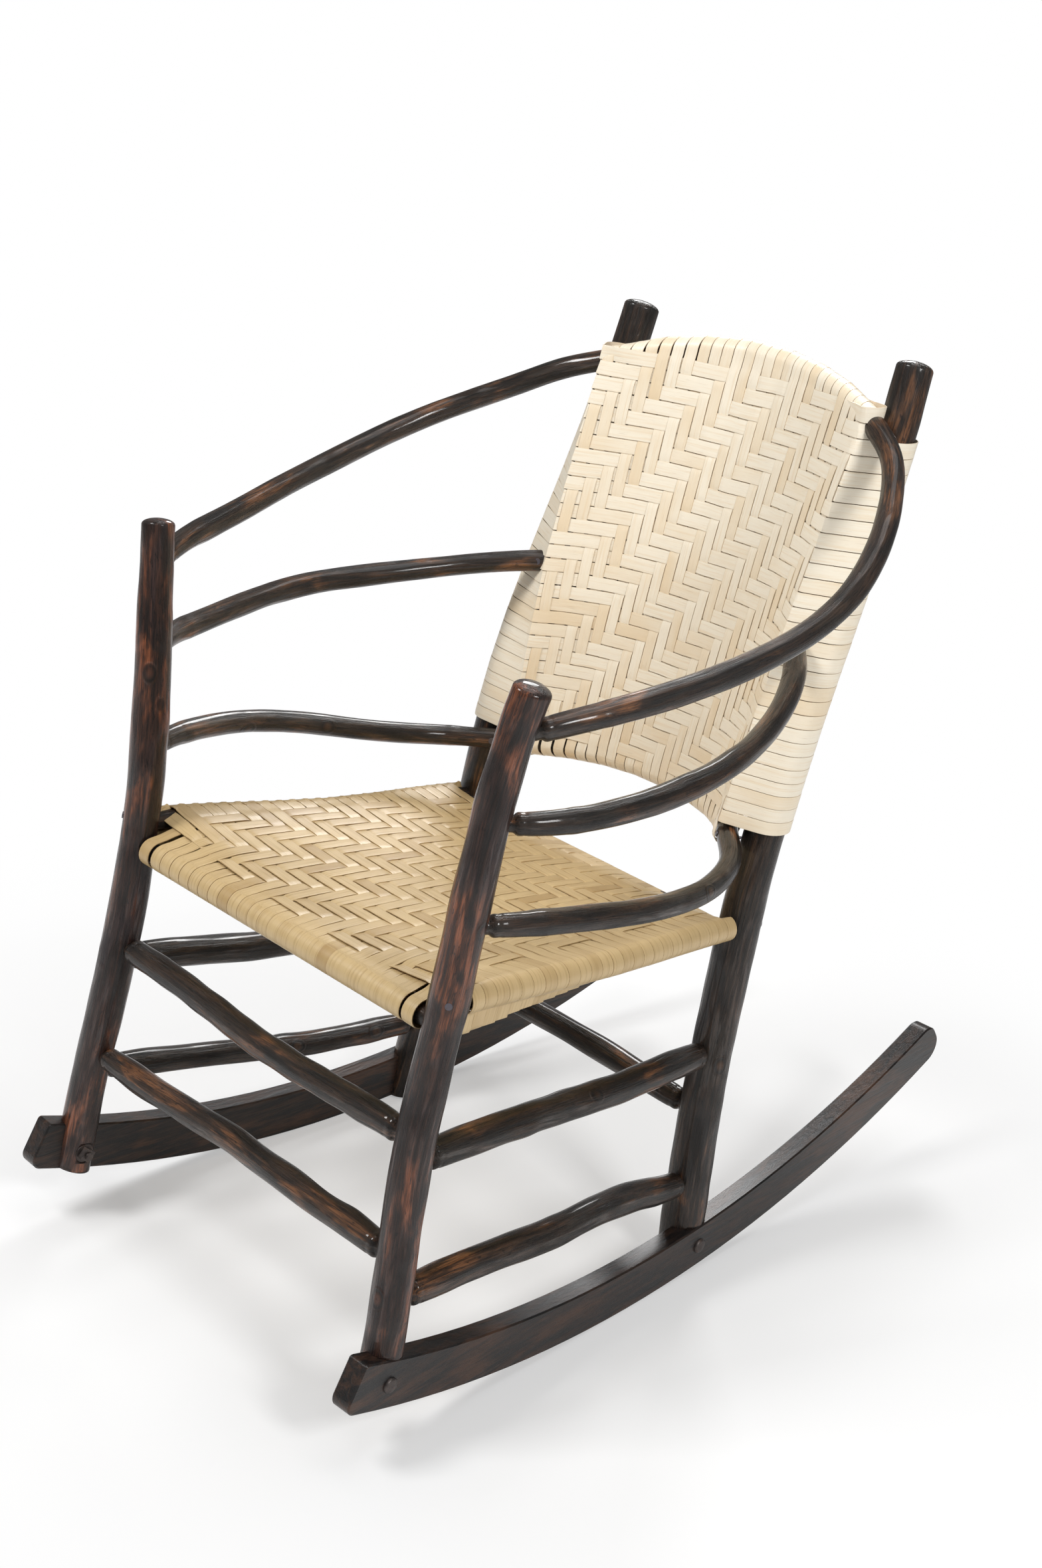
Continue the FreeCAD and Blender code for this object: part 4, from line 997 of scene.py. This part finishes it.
SEAT_CROSS_WIDTH, SEAT_CROSS_LOSS = 0.99, 0.08
RAIL_NEAR, RAIL_PLAY = 0.03, 0.001
CROSSING_OUT = 0.1


def seat_side(sense, back):
    """Centre of a side rail at one distance back."""
    return along_axis("seat_rail_left" if sense > 0 else "seat_rail_right", 1, back)[0]


def seat_end(end, out):
    """Centre of the front or back rail at one distance to the side."""
    return along_axis("seat_rail_back" if end else "seat_rail_front", 0, out)[0]


class SeatShape:
    """Heights of the seat's two layers and the run of its strips."""

    def __init__(self, weave):
        self.front = pole_axis("seat_rail_front")[0][:, 1].mean()
        self.back = pole_axis("seat_rail_back")[0][:, 1].mean()
        self.depth = self.back - self.front
        self.long_count = weave.seat_long
        self.cross_count = weave.seat_cross
        self.lift = weave.lift

    def share(self, back):
        """Share of the depth."""
        return np.clip((back - self.front) / self.depth, 0, 1)

    def plane(self, back, offset):
        """Height between the front and back rails, at an offset from their axes."""
        front = seat_end(0, 0.0)[2] + offset
        rear = seat_end(1, 0.0)[2] + offset
        return front + (rear - front) * self.share(back)

    def side_weight(self, out, back, edge):
        """How much the side rails rule the height."""
        near = (np.clip((back - self.front) / SEAT_FRONT_FADE, 0, 1)
                * np.clip((self.back - back) / SEAT_BACK_FADE, 0, 1))
        return np.clip(np.abs(out) / edge, 0, 1) ** SIDE_POWER * eased(near)

    def top(self, out, back):
        """Height of the middle of the upper layer."""
        low = (self.plane(back, SEAT_REACH + LONG_GAP)
               + SEAT_BELLY * np.sin(np.pi * self.share(back)) ** BELLY_POWER)
        left, right = seat_side(1, back), seat_side(-1, back)
        edge = np.where(out > 0, left[..., 0], -right[..., 0])
        level = np.where(out > 0, left[..., 2], right[..., 2]) + SIDE_REACH
        return low + (level - low) * self.side_weight(out, back, edge)

    def under(self, out, back):
        """Height of the middle of the lower layer."""
        plane = self.plane(back, -SEAT_REACH - LONG_GAP)
        level = seat_side(1, self.front + self.depth / 2)[2] - SIDE_REACH
        return plane + (level - plane) * self.side_weight(out, back, SEAT_SIDE)

    def slope(self, line, axis, middle):
        """How the layer at each point rises along an axis; middle lies between the layers."""
        step = np.eye(2)[axis] * SLOPE_REACH
        ahead, behind = (line[:, :2] + step).T, (line[:, :2] - step).T
        rise = np.where(line[:, 2] > middle, self.top(*ahead) - self.top(*behind),
                        self.under(*ahead) - self.under(*behind))
        return rise / (2 * SLOPE_REACH)

    def half(self, share):
        """Half width of the front-to-back strips at one share of the depth."""
        return SEAT_FRONT_HALF + (SEAT_BACK_HALF - SEAT_FRONT_HALF) * share

    def long_place(self, number, back):
        """Middle of a front-to-back strip at one distance back."""
        number = number + 0.5
        share = self.share(back)
        even = (number / self.long_count * 2 - 1
                + SEAT_BULGE * math.sin(math.pi * number / self.long_count))
        outer = (number > self.long_count - 1) * 1.0 - (number < 1) * 1.0
        apart = np.clip(1 - share * END_GAP_RATE, 0, 1) * outer
        return even * self.half(share) + SEAT_SHIFT + SEAT_END_GAP * apart

    def outward(self, out):
        """0 at the middle of the seat, rising to 1 at its sides."""
        return np.clip(np.abs(out) / SEAT_SIDE, 0, 1) ** 2.0

    def cross_place(self, number, out):
        """Middle of a side-to-side strip at one distance to the side."""
        number = number + 0.5
        middle = self.front + SEAT_FIRST + number * (SEAT_LAST - SEAT_FIRST) / self.cross_count
        side = (self.front + SEAT_SIDE_FIRST
                + number * (SEAT_SIDE_LAST - SEAT_SIDE_FIRST) / self.cross_count)
        spread = self.outward(out)
        return middle + (side - middle) * spread - SEAT_SKEW * out * (1 - SKEW_LOSS * spread)


def add_seat_long(sheet, shape, number):
    """A front-to-back strip, round the front and back rails."""
    front = seat_end(0, shape.long_place(number, shape.front))
    back = seat_end(1, shape.long_place(number, shape.back))
    reach = SEAT_REACH + LONG_GAP
    run = np.linspace(front[1], back[1], SEAT_RUN)
    out = shape.long_place(number, run)
    middle = shape.long_place(number, shape.front + shape.depth / 2)
    crossed = range(shape.cross_count)
    fade = (np.clip((run - front[1]) / WAVE_FADE, 0, 1)
            * np.clip((back[1] - run) / WAVE_FADE, 0, 1))
    wave = shape.lift * crossing_heights(
        run, [shape.cross_place(k, middle) for k in crossed],
        [not twill(number - k + SEAT_PHASE) for k in crossed]) * fade
    line = closed_line([
        np.stack([out, run, shape.top(out, run) + wave], axis=1),
        half_turn(back, (0, 0, reach), (0, reach, 0)),
        np.stack([out, run, shape.under(out, run) - wave], axis=1)[::-1],
        half_turn(front, (0, 0, -reach), (0, -reach, 0))])
    back_run = line[:, 1]
    across = np.tile((1.0, 0.0, 0.0), (len(line), 1))
    inside = (back_run > front[1] + TURN_MARGIN) & (back_run < back[1] - TURN_MARGIN)
    across[:, 2] = np.where(inside, shape.slope(line, 0, (front[2] + back[2]) / 2), 0)
    for end, rail in enumerate((front, back)):
        way = seat_end(end, rail[0] + RAIL_REACH) - seat_end(end, rail[0] - RAIL_REACH)
        across[~inside & (np.abs(back_run - rail[1]) < RAIL_NEAR)] = way / way[0]
    pitch = 2 * shape.half((back_run - shape.front) / shape.depth) / shape.long_count
    from_rail = np.minimum(back_run - front[1] - WOVEN_MARGIN, back[1] - WOVEN_MARGIN - back_run)
    woven = np.clip(from_rail / WOVEN_FADE, 0, 1)
    sheet.add(line, round_smoothed(across), pitch * (SEAT_LONG_WIDTH - SEAT_LONG_LOSS * woven),
              woven)


def add_seat_cross(sheet, shape, number):
    """A side-to-side strip, round the side rails."""
    at_side = shape.cross_place(number, SEAT_SIDE)
    left, right = seat_side(1, at_side), seat_side(-1, at_side)
    reach = SEAT_REACH + CROSS_GAP
    run = np.linspace(right[0], left[0], SEAT_RUN)
    place = shape.cross_place(number, run)
    crossed = range(shape.long_count)
    wave = shape.lift * crossing_heights(
        run, [shape.long_place(k, shape.cross_place(number, CROSSING_OUT)) for k in crossed],
        [twill(k - number + SEAT_PHASE) for k in crossed])
    line = closed_line([
        np.stack([run, place, shape.top(run, place) + wave], axis=1),
        half_turn(left, (0, 0, reach), (reach, 0, 0)),
        np.stack([run, place, shape.under(run, place) - wave], axis=1)[::-1],
        half_turn(right, (0, 0, -reach), (-reach, 0, 0))])
    across = np.stack([np.zeros(len(line)), np.ones(len(line)),
                       shape.slope(line, 1, (left[2] + right[2]) / 2)], axis=1)
    for sense, rail in ((1, left), (-1, right)):
        way = seat_side(sense, at_side + RAIL_REACH) - seat_side(sense, at_side - RAIL_REACH)
        across[line[:, 0] * sense > rail[0] * sense - RAIL_PLAY] = way / way[1]
    middle_pitch = (SEAT_LAST - SEAT_FIRST) / shape.cross_count
    side_pitch = (SEAT_SIDE_LAST - SEAT_SIDE_FIRST) / shape.cross_count
    pitch = middle_pitch + (side_pitch - middle_pitch) * shape.outward(line[:, 0])
    woven = np.clip((WOVEN_SIDE - np.abs(line[:, 0])) / WOVEN_FADE, 0, 1)
    sheet.add(line, -round_smoothed(across),
              pitch * (SEAT_CROSS_WIDTH - SEAT_CROSS_LOSS * woven), woven)


class CHAIR_OT_seat(bpy.types.Operator):
    """Seat of woven splint: every strip is a closed loop round two rails"""
    bl_idname = "chair.seat"
    bl_label = "Seat weave"

    def execute(self, context):
        weave = context.scene.chair_weave
        Sheet(SEAT_SEED, weave.thickness).weave("seat", SeatShape(weave), add_seat_long,
                                                add_seat_cross)
        return {"FINISHED"}


# Back

BACK_SEED = 9
BACK_REACH = 0.0140             # from a hoop's axis to the middle of a layer
LEAST_LEVEL = 0.60
CROWN_BACK = 0.02               # a hoop's crown lies farther back than this
CROWN_HALF = 0.19
BACK_PHASE = 5
BACK_LOW, BACK_HIGH, BACK_SPAN = 0.51, 0.94, 0.43
BACK_LOW_EDGE, BACK_HIGH_EDGE = -0.160, -0.1735
LONG_PITCH, LONG_PITCH_GAIN = 0.0123, 0.0014
CROSS_TOP, CROSS_PITCH, CROSS_PITCH_LOSS = 0.9408, 0.0164, 0.0000417
CROSS_TILTS = (0.065, 0.015)    # on the sitter's left and right
LONG_RUN, CROSS_RUN = 150, 120
HOOP_RISE = 0.0146              # of a strip's turn over a hoop
HOOP_SLOPE = 0.9
HOOP_NEAR = 0.016
HOOP_STEP = 0.003
LOOSE = 0.6
BACK_WIDTH, WRAP_WIDTH = 0.965, 0.99
# Painted shade: upright strips of the back are tinted darker than the level strips, which catch
# more light.
UPRIGHT_PAINTED_SHADE = 0.22
HIGH_ROWS = 2                   # level strips above the post tops turn at these places
HIGH_LEFT, HIGH_RIGHT, HIGH_REACH = 0.178, -0.170, 0.0137
POST_SIDE = 0.2
POST_GAP = 0.0030
POST_STEP = 0.02
EDGE_PLAY = 0.001
POST_POINTS = 22


def back_long_edge(number, height):
    """Right edge of an upright strip at one height."""
    share = np.clip((height - BACK_LOW) / BACK_SPAN, 0, 1)
    left = BACK_LOW_EDGE + (BACK_HIGH_EDGE - BACK_LOW_EDGE) * share
    return left + (LONG_PITCH + LONG_PITCH_GAIN * share) * number


def back_cross_edge(number, out):
    """Upper edge of a level strip at one distance to the side."""
    tilt = np.where(out > 0, *CROSS_TILTS)
    return CROSS_TOP - CROSS_PITCH * number + CROSS_PITCH_LOSS * number * number + tilt * out


class BackShape:
    """The front and rear layers of the back, between the top and low hoops."""

    def __init__(self, weave):
        self.long_count = weave.back_long
        self.cross_count = weave.back_cross
        self.lift = weave.lift
        self.parts = {}
        for name in HOOPS:
            centres = pole_axis(name)[0]
            crown = centres[centres[:, 1] > CROWN_BACK]
            crown = crown[np.argsort(crown[:, 0])]
            crown = crown[np.abs(crown[:, 0]) < CROWN_HALF]
            along = np.gradient(crown, axis=0)
            level = np.abs(along[:, 0]) / np.linalg.norm(along, axis=1)
            reach = smoothed(BACK_REACH / np.maximum(level, LEAST_LEVEL), 5)
            self.parts[name] = np.column_stack([crown, reach])

    def hoop(self, name, out):
        """How far back and how high a hoop's crown lies, and its reach, at one place."""
        rows = self.parts[name]
        return rows_at(rows[:, 0], rows[:, 1:], out)

    def layer(self, out, height, sense):
        """How far back a layer lies; sense -1 is the front layer and 1 the rear."""
        top, middle, low = [self.hoop(name, out) for name in HOOPS]
        level = middle[..., 1]
        low_share = np.clip((height - low[..., 1]) / (level - low[..., 1]), 0, 1)
        high_share = np.clip((height - level) / (top[..., 1] - level), 0, 1)
        low, middle, top = [hoop[..., 0] + sense * hoop[..., 2] for hoop in (low, middle, top)]
        return np.where(height < level, low + (middle - low) * low_share,
                        middle + (top - middle) * high_share)

    def senses(self, line):
        """The layer that each point lies in."""
        spots = line[:, 0], line[:, 2]
        middle = (self.layer(*spots, -1) + self.layer(*spots, 1)) / 2
        return np.where(line[:, 1] < middle, -1.0, 1.0)

    def slope(self, line, out, up):
        """How the layer at each point slopes toward a direction in its plane."""
        sense = self.senses(line)
        across, height = line[:, 0], line[:, 2]
        return (self.layer(across + out, height + up, sense)
                - self.layer(across - out, height - up, sense)) / (2 * SLOPE_REACH)


def add_back_long(sheet, shape, number):
    """An upright strip, round the top and low hoops."""
    outs = [float(back_long_edge(number + 0.5, level)) for level in (BACK_LOW, BACK_HIGH)]
    low, top = [np.array((out, *shape.hoop(name, out)))
                for out, name in zip(outs, ("hoop_low", "hoop_top"))]
    run = np.linspace(low[2], top[2], LONG_RUN)
    out = back_long_edge(number + 0.5, run)
    crossed = range(shape.cross_count)
    wave = shape.lift * crossing_heights(
        run, [float(back_cross_edge(k + 0.5, out.mean())) for k in crossed],
        [not twill(number + k + BACK_PHASE) for k in crossed])
    line = closed_line([
        np.stack([out, shape.layer(out, run, -1) - wave, run], axis=1),
        half_turn(top[:3], (0, -top[3], 0), (0, 0, HOOP_RISE)),
        np.stack([out, shape.layer(out, run, 1) + wave, run], axis=1)[::-1],
        half_turn(low[:3], (0, low[3], 0), (0, 0, -HOOP_RISE))])
    ways = []
    for name, place in (("hoop_top", top[0]), ("hoop_low", low[0])):
        way = shape.hoop(name, place + HOOP_STEP) - shape.hoop(name, place - HOOP_STEP)
        ways.append(np.clip(way / (2 * HOOP_STEP), -HOOP_SLOPE, HOOP_SLOPE))
    near_top = np.clip((line[:, 2] - top[2] + HOOP_NEAR) / HOOP_NEAR, 0, 1)
    near_low = np.clip((low[2] + HOOP_NEAR - line[:, 2]) / HOOP_NEAR, 0, 1)
    flat = 1 - near_top - near_low
    back_slope, up_slope = [ways[0][k] * near_top + ways[1][k] * near_low for k in (0, 1)]
    across = np.stack([np.ones(len(line)), shape.slope(line, SLOPE_REACH, 0) * flat + back_slope,
                       up_slope], axis=1)
    pitch = back_long_edge(number + 1, line[:, 2]) - back_long_edge(number, line[:, 2])
    # The upright strip gets painted shade in its tint.
    sheet.add(line, across, pitch * BACK_WIDTH, flat * LOOSE, UPRIGHT_PAINTED_SHADE)


def add_back_cross(sheet, shape, number):
    """A level strip, round the back posts or, at the top, the ends of the hoop's crown."""
    spots, ways = [], []
    for name, sense, out in (("back_post_left", 1, HIGH_LEFT), ("back_post_right", -1, HIGH_RIGHT)):
        level = float(back_cross_edge(number + 0.5, sense * POST_SIDE))
        rise = along_axis(name, 2, level + POST_STEP)[0] - along_axis(name, 2, level - POST_STEP)[0]
        ways.append(rise / rise[2])
        if number < HIGH_ROWS:
            depth = float(shape.hoop("hoop_top", out)[0])
            spots.append((np.array((out, depth, level)), HIGH_REACH))
        else:
            centre, radius = along_axis(name, 2, level)
            spots.append((centre, radius + POST_GAP))
    level = float(back_cross_edge(number + 0.5, 0.0))
    first = float(back_long_edge(0, level)) - EDGE_PLAY
    last = float(back_long_edge(shape.long_count, level)) + EDGE_PLAY
    run = np.linspace(first, last, CROSS_RUN)
    height = back_cross_edge(number + 0.5, run)
    crossed = range(shape.long_count)
    wave = shape.lift * crossing_heights(
        run, [float(back_long_edge(k + 0.5, height.mean())) for k in crossed],
        [twill(k + number + BACK_PHASE) for k in crossed])
    front = np.stack([run, shape.layer(run, height, -1) - wave, height], axis=1)
    rear = np.stack([run, shape.layer(run, height, 1) + wave, height], axis=1)[::-1]
    line = closed_line([front, post_turn(front[-1], *spots[0], rear[0]),
                        rear, post_turn(rear[-1], *spots[1], front[0])])
    inner = (line[:, 0] > first) & (line[:, 0] < last)
    left = line[:, 0] > 0
    slant, lean = [np.where(left, ways[0][k], ways[1][k]) for k in (0, 1)]
    across = -np.stack([np.where(inner, 0.0, slant),
                        np.where(inner, shape.slope(line, 0, SLOPE_REACH), lean),
                        np.ones(len(line))], axis=1)
    pitch = float(back_cross_edge(number, 0.0) - back_cross_edge(number + 1, 0.0))
    sheet.add(line, round_smoothed(across), pitch * np.where(inner, BACK_WIDTH, WRAP_WIDTH),
              inner * LOOSE)


def post_turn(start, centre, reach, end):
    """Points of a level strip round a post, from the end of one layer to the other's start."""
    def touch(point, way):
        """Angle at which a strip from the point touches the post."""
        away = point[:2] - centre[:2]
        far = np.linalg.norm(away)
        return math.atan2(away[1], away[0]) + way * math.acos(min(reach / far, 1.0))

    first = touch(start, 1)
    last = touch(end, -1)
    while last < first:
        last += 2 * math.pi
    angles = np.linspace(first, last, POST_POINTS)
    level = start[2] + (end[2] - start[2]) * np.linspace(0, 1, POST_POINTS)
    return np.stack([centre[0] + reach * np.cos(angles), centre[1] + reach * np.sin(angles),
                     level], axis=1)


class CHAIR_OT_back(bpy.types.Operator):
    """Back of woven splint: loops round two hoops and loops round the back posts"""
    bl_idname = "chair.back"
    bl_label = "Back weave"

    def execute(self, context):
        weave = context.scene.chair_weave
        Sheet(BACK_SEED, weave.thickness).weave("back", BackShape(weave), add_back_long,
                                                add_back_cross)
        return {"FINISHED"}


# Stage

CAMERA_PLACE = (1.432586, -1.677193, 1.376499)
CAMERA_RIGHT = (0.706116, 0.697815, 0.120226)
CAMERA_UP = (-0.341304, 0.186644, 0.921236)
CAMERA_AHEAD = (-0.620413, 0.691533, -0.369959)
CAMERA_LENS = 50.339            # in millimetres, on a frame 36 high
# Name, place, height of the point that it shines at, side and watts of each lamp.
LAMPS = (("key", (-0.9, -2.2, 2.9), 0.5, 0.9, 59.0), ("side", (2.6, -0.6, 2.2), 0.5, 0.7, 42.0),
         ("rim", (-1.6, 2.2, 2.4), 0.6, 0.9, 46.0), ("top", (0.2, 0.2, 3.4), 0.4, 2.0, 28.0))
WHITE = (1.0, 1.0, 1.0, 1.0)
WORLD_LEVEL = 0.17
FLOOR_HALF = 12
FLOOR_GREY = (0.93, 0.93, 0.93, 1.0)


class CHAIR_OT_stage(bpy.types.Operator):
    """Camera, lamps, floor and backdrop"""
    bl_idname = "chair.stage"
    bl_label = "Stage"

    def execute(self, context):
        scene = context.scene
        data = bpy.data.cameras.new("camera")
        camera = linked("camera", data)
        scene.camera = camera
        turn = Matrix((Vector(CAMERA_RIGHT), Vector(CAMERA_UP), -Vector(CAMERA_AHEAD)))
        camera.matrix_world = (Matrix.Translation(Vector(CAMERA_PLACE))
                               @ turn.transposed().to_4x4())
        data.sensor_fit = "VERTICAL"
        data.sensor_height = 36.0
        data.lens = CAMERA_LENS
        data.clip_end = 50.0
        add_floor()
        for lamp in LAMPS:
            add_lamp(*lamp)
        scene.world = bpy.data.worlds.new("studio")
        scene.world.use_nodes = True
        g = Graph("studio", scene.world.node_tree)
        soft, white = [g.node("ShaderNodeBackground", {}, {"Color": WHITE, "Strength": level})
                       for level in (WORLD_LEVEL, 1.0)]
        seen = g.node("ShaderNodeLightPath")
        both = g.node("ShaderNodeMixShader", {}, {0: seen, 1: soft, 2: white})
        g.node("ShaderNodeOutputWorld", {}, {"Surface": both})
        scene.view_settings.view_transform = "Standard"
        return {"FINISHED"}


def add_lamp(name, place, height, size, power):
    """A large soft lamp that shines at a height over the middle."""
    data = bpy.data.lights.new(name, "AREA")
    data.shape = "SQUARE"
    data.size = size
    data.energy = power
    way = Vector((0, 0, height)) - Vector(place)
    linked(name, data).matrix_world = (Matrix.Translation(Vector(place))
                                       @ way.to_track_quat("-Z", "Y").to_matrix().to_4x4())


def add_floor():
    """A plain pale floor that turns pure white away from the chair."""
    mesh = bpy.data.meshes.new("floor")
    mesh.from_pydata([(x * FLOOR_HALF, y * FLOOR_HALF, 0)
                      for x, y in ((-1, -1), (1, -1), (1, 1), (-1, 1))], [], [(0, 1, 2, 3)])
    floor = linked("floor", mesh)
    g = Graph("floor_white")
    place = g.node("ShaderNodeNewGeometry")
    away = g.node("ShaderNodeVectorMath", {"operation": "LENGTH"}, {0: place}, 1)
    matt = g.node("ShaderNodeBsdfDiffuse", {}, {"Color": FLOOR_GREY})
    white = g.node("ShaderNodeEmission", {}, {"Color": WHITE, "Strength": 1.0})
    far = g.rise(away, 0.45, 1.10, 0.35, 1.0) * g.node("ShaderNodeLightPath")
    surface = g.node("ShaderNodeMixShader", {}, {0: far, 1: matt, 2: white})
    g.node("ShaderNodeOutputMaterial", {}, {"Surface": surface})
    floor.data.materials.append(g.material)


class CHAIR_PT_panel(bpy.types.Panel):
    """Buttons for the pieces of the chair"""
    bl_idname = "CHAIR_PT_panel"
    bl_label = "Rocking chair"
    bl_space_type = "VIEW_3D"
    bl_region_type = "UI"
    bl_category = "Chair"

    def draw(self, context):
        for step in STEPS:
            self.layout.operator("chair." + step)
        for group in (context.scene.chair_look, context.scene.chair_weave):
            for key in group.__annotations__:
                self.layout.prop(group, key)


STEPS = ("posts", "rungs", "hoops", "rockers", "seat", "back", "stage")
CLASSES = (ChairLook, ChairWeave, CHAIR_OT_posts, CHAIR_OT_rungs, CHAIR_OT_hoops,
           CHAIR_OT_rockers, CHAIR_OT_seat, CHAIR_OT_back, CHAIR_OT_stage, CHAIR_PT_panel)


def register():
    for item in CLASSES:
        bpy.utils.register_class(item)
    bpy.types.Scene.chair_look = bpy.props.PointerProperty(type=ChairLook)
    bpy.types.Scene.chair_weave = bpy.props.PointerProperty(type=ChairWeave)


def unregister():
    del bpy.types.Scene.chair_look
    del bpy.types.Scene.chair_weave
    for item in reversed(CLASSES):
        bpy.utils.unregister_class(item)


def main():
    register()
    for step in STEPS:
        getattr(bpy.ops.chair, step)()


if __name__ == "__main__":
    main()
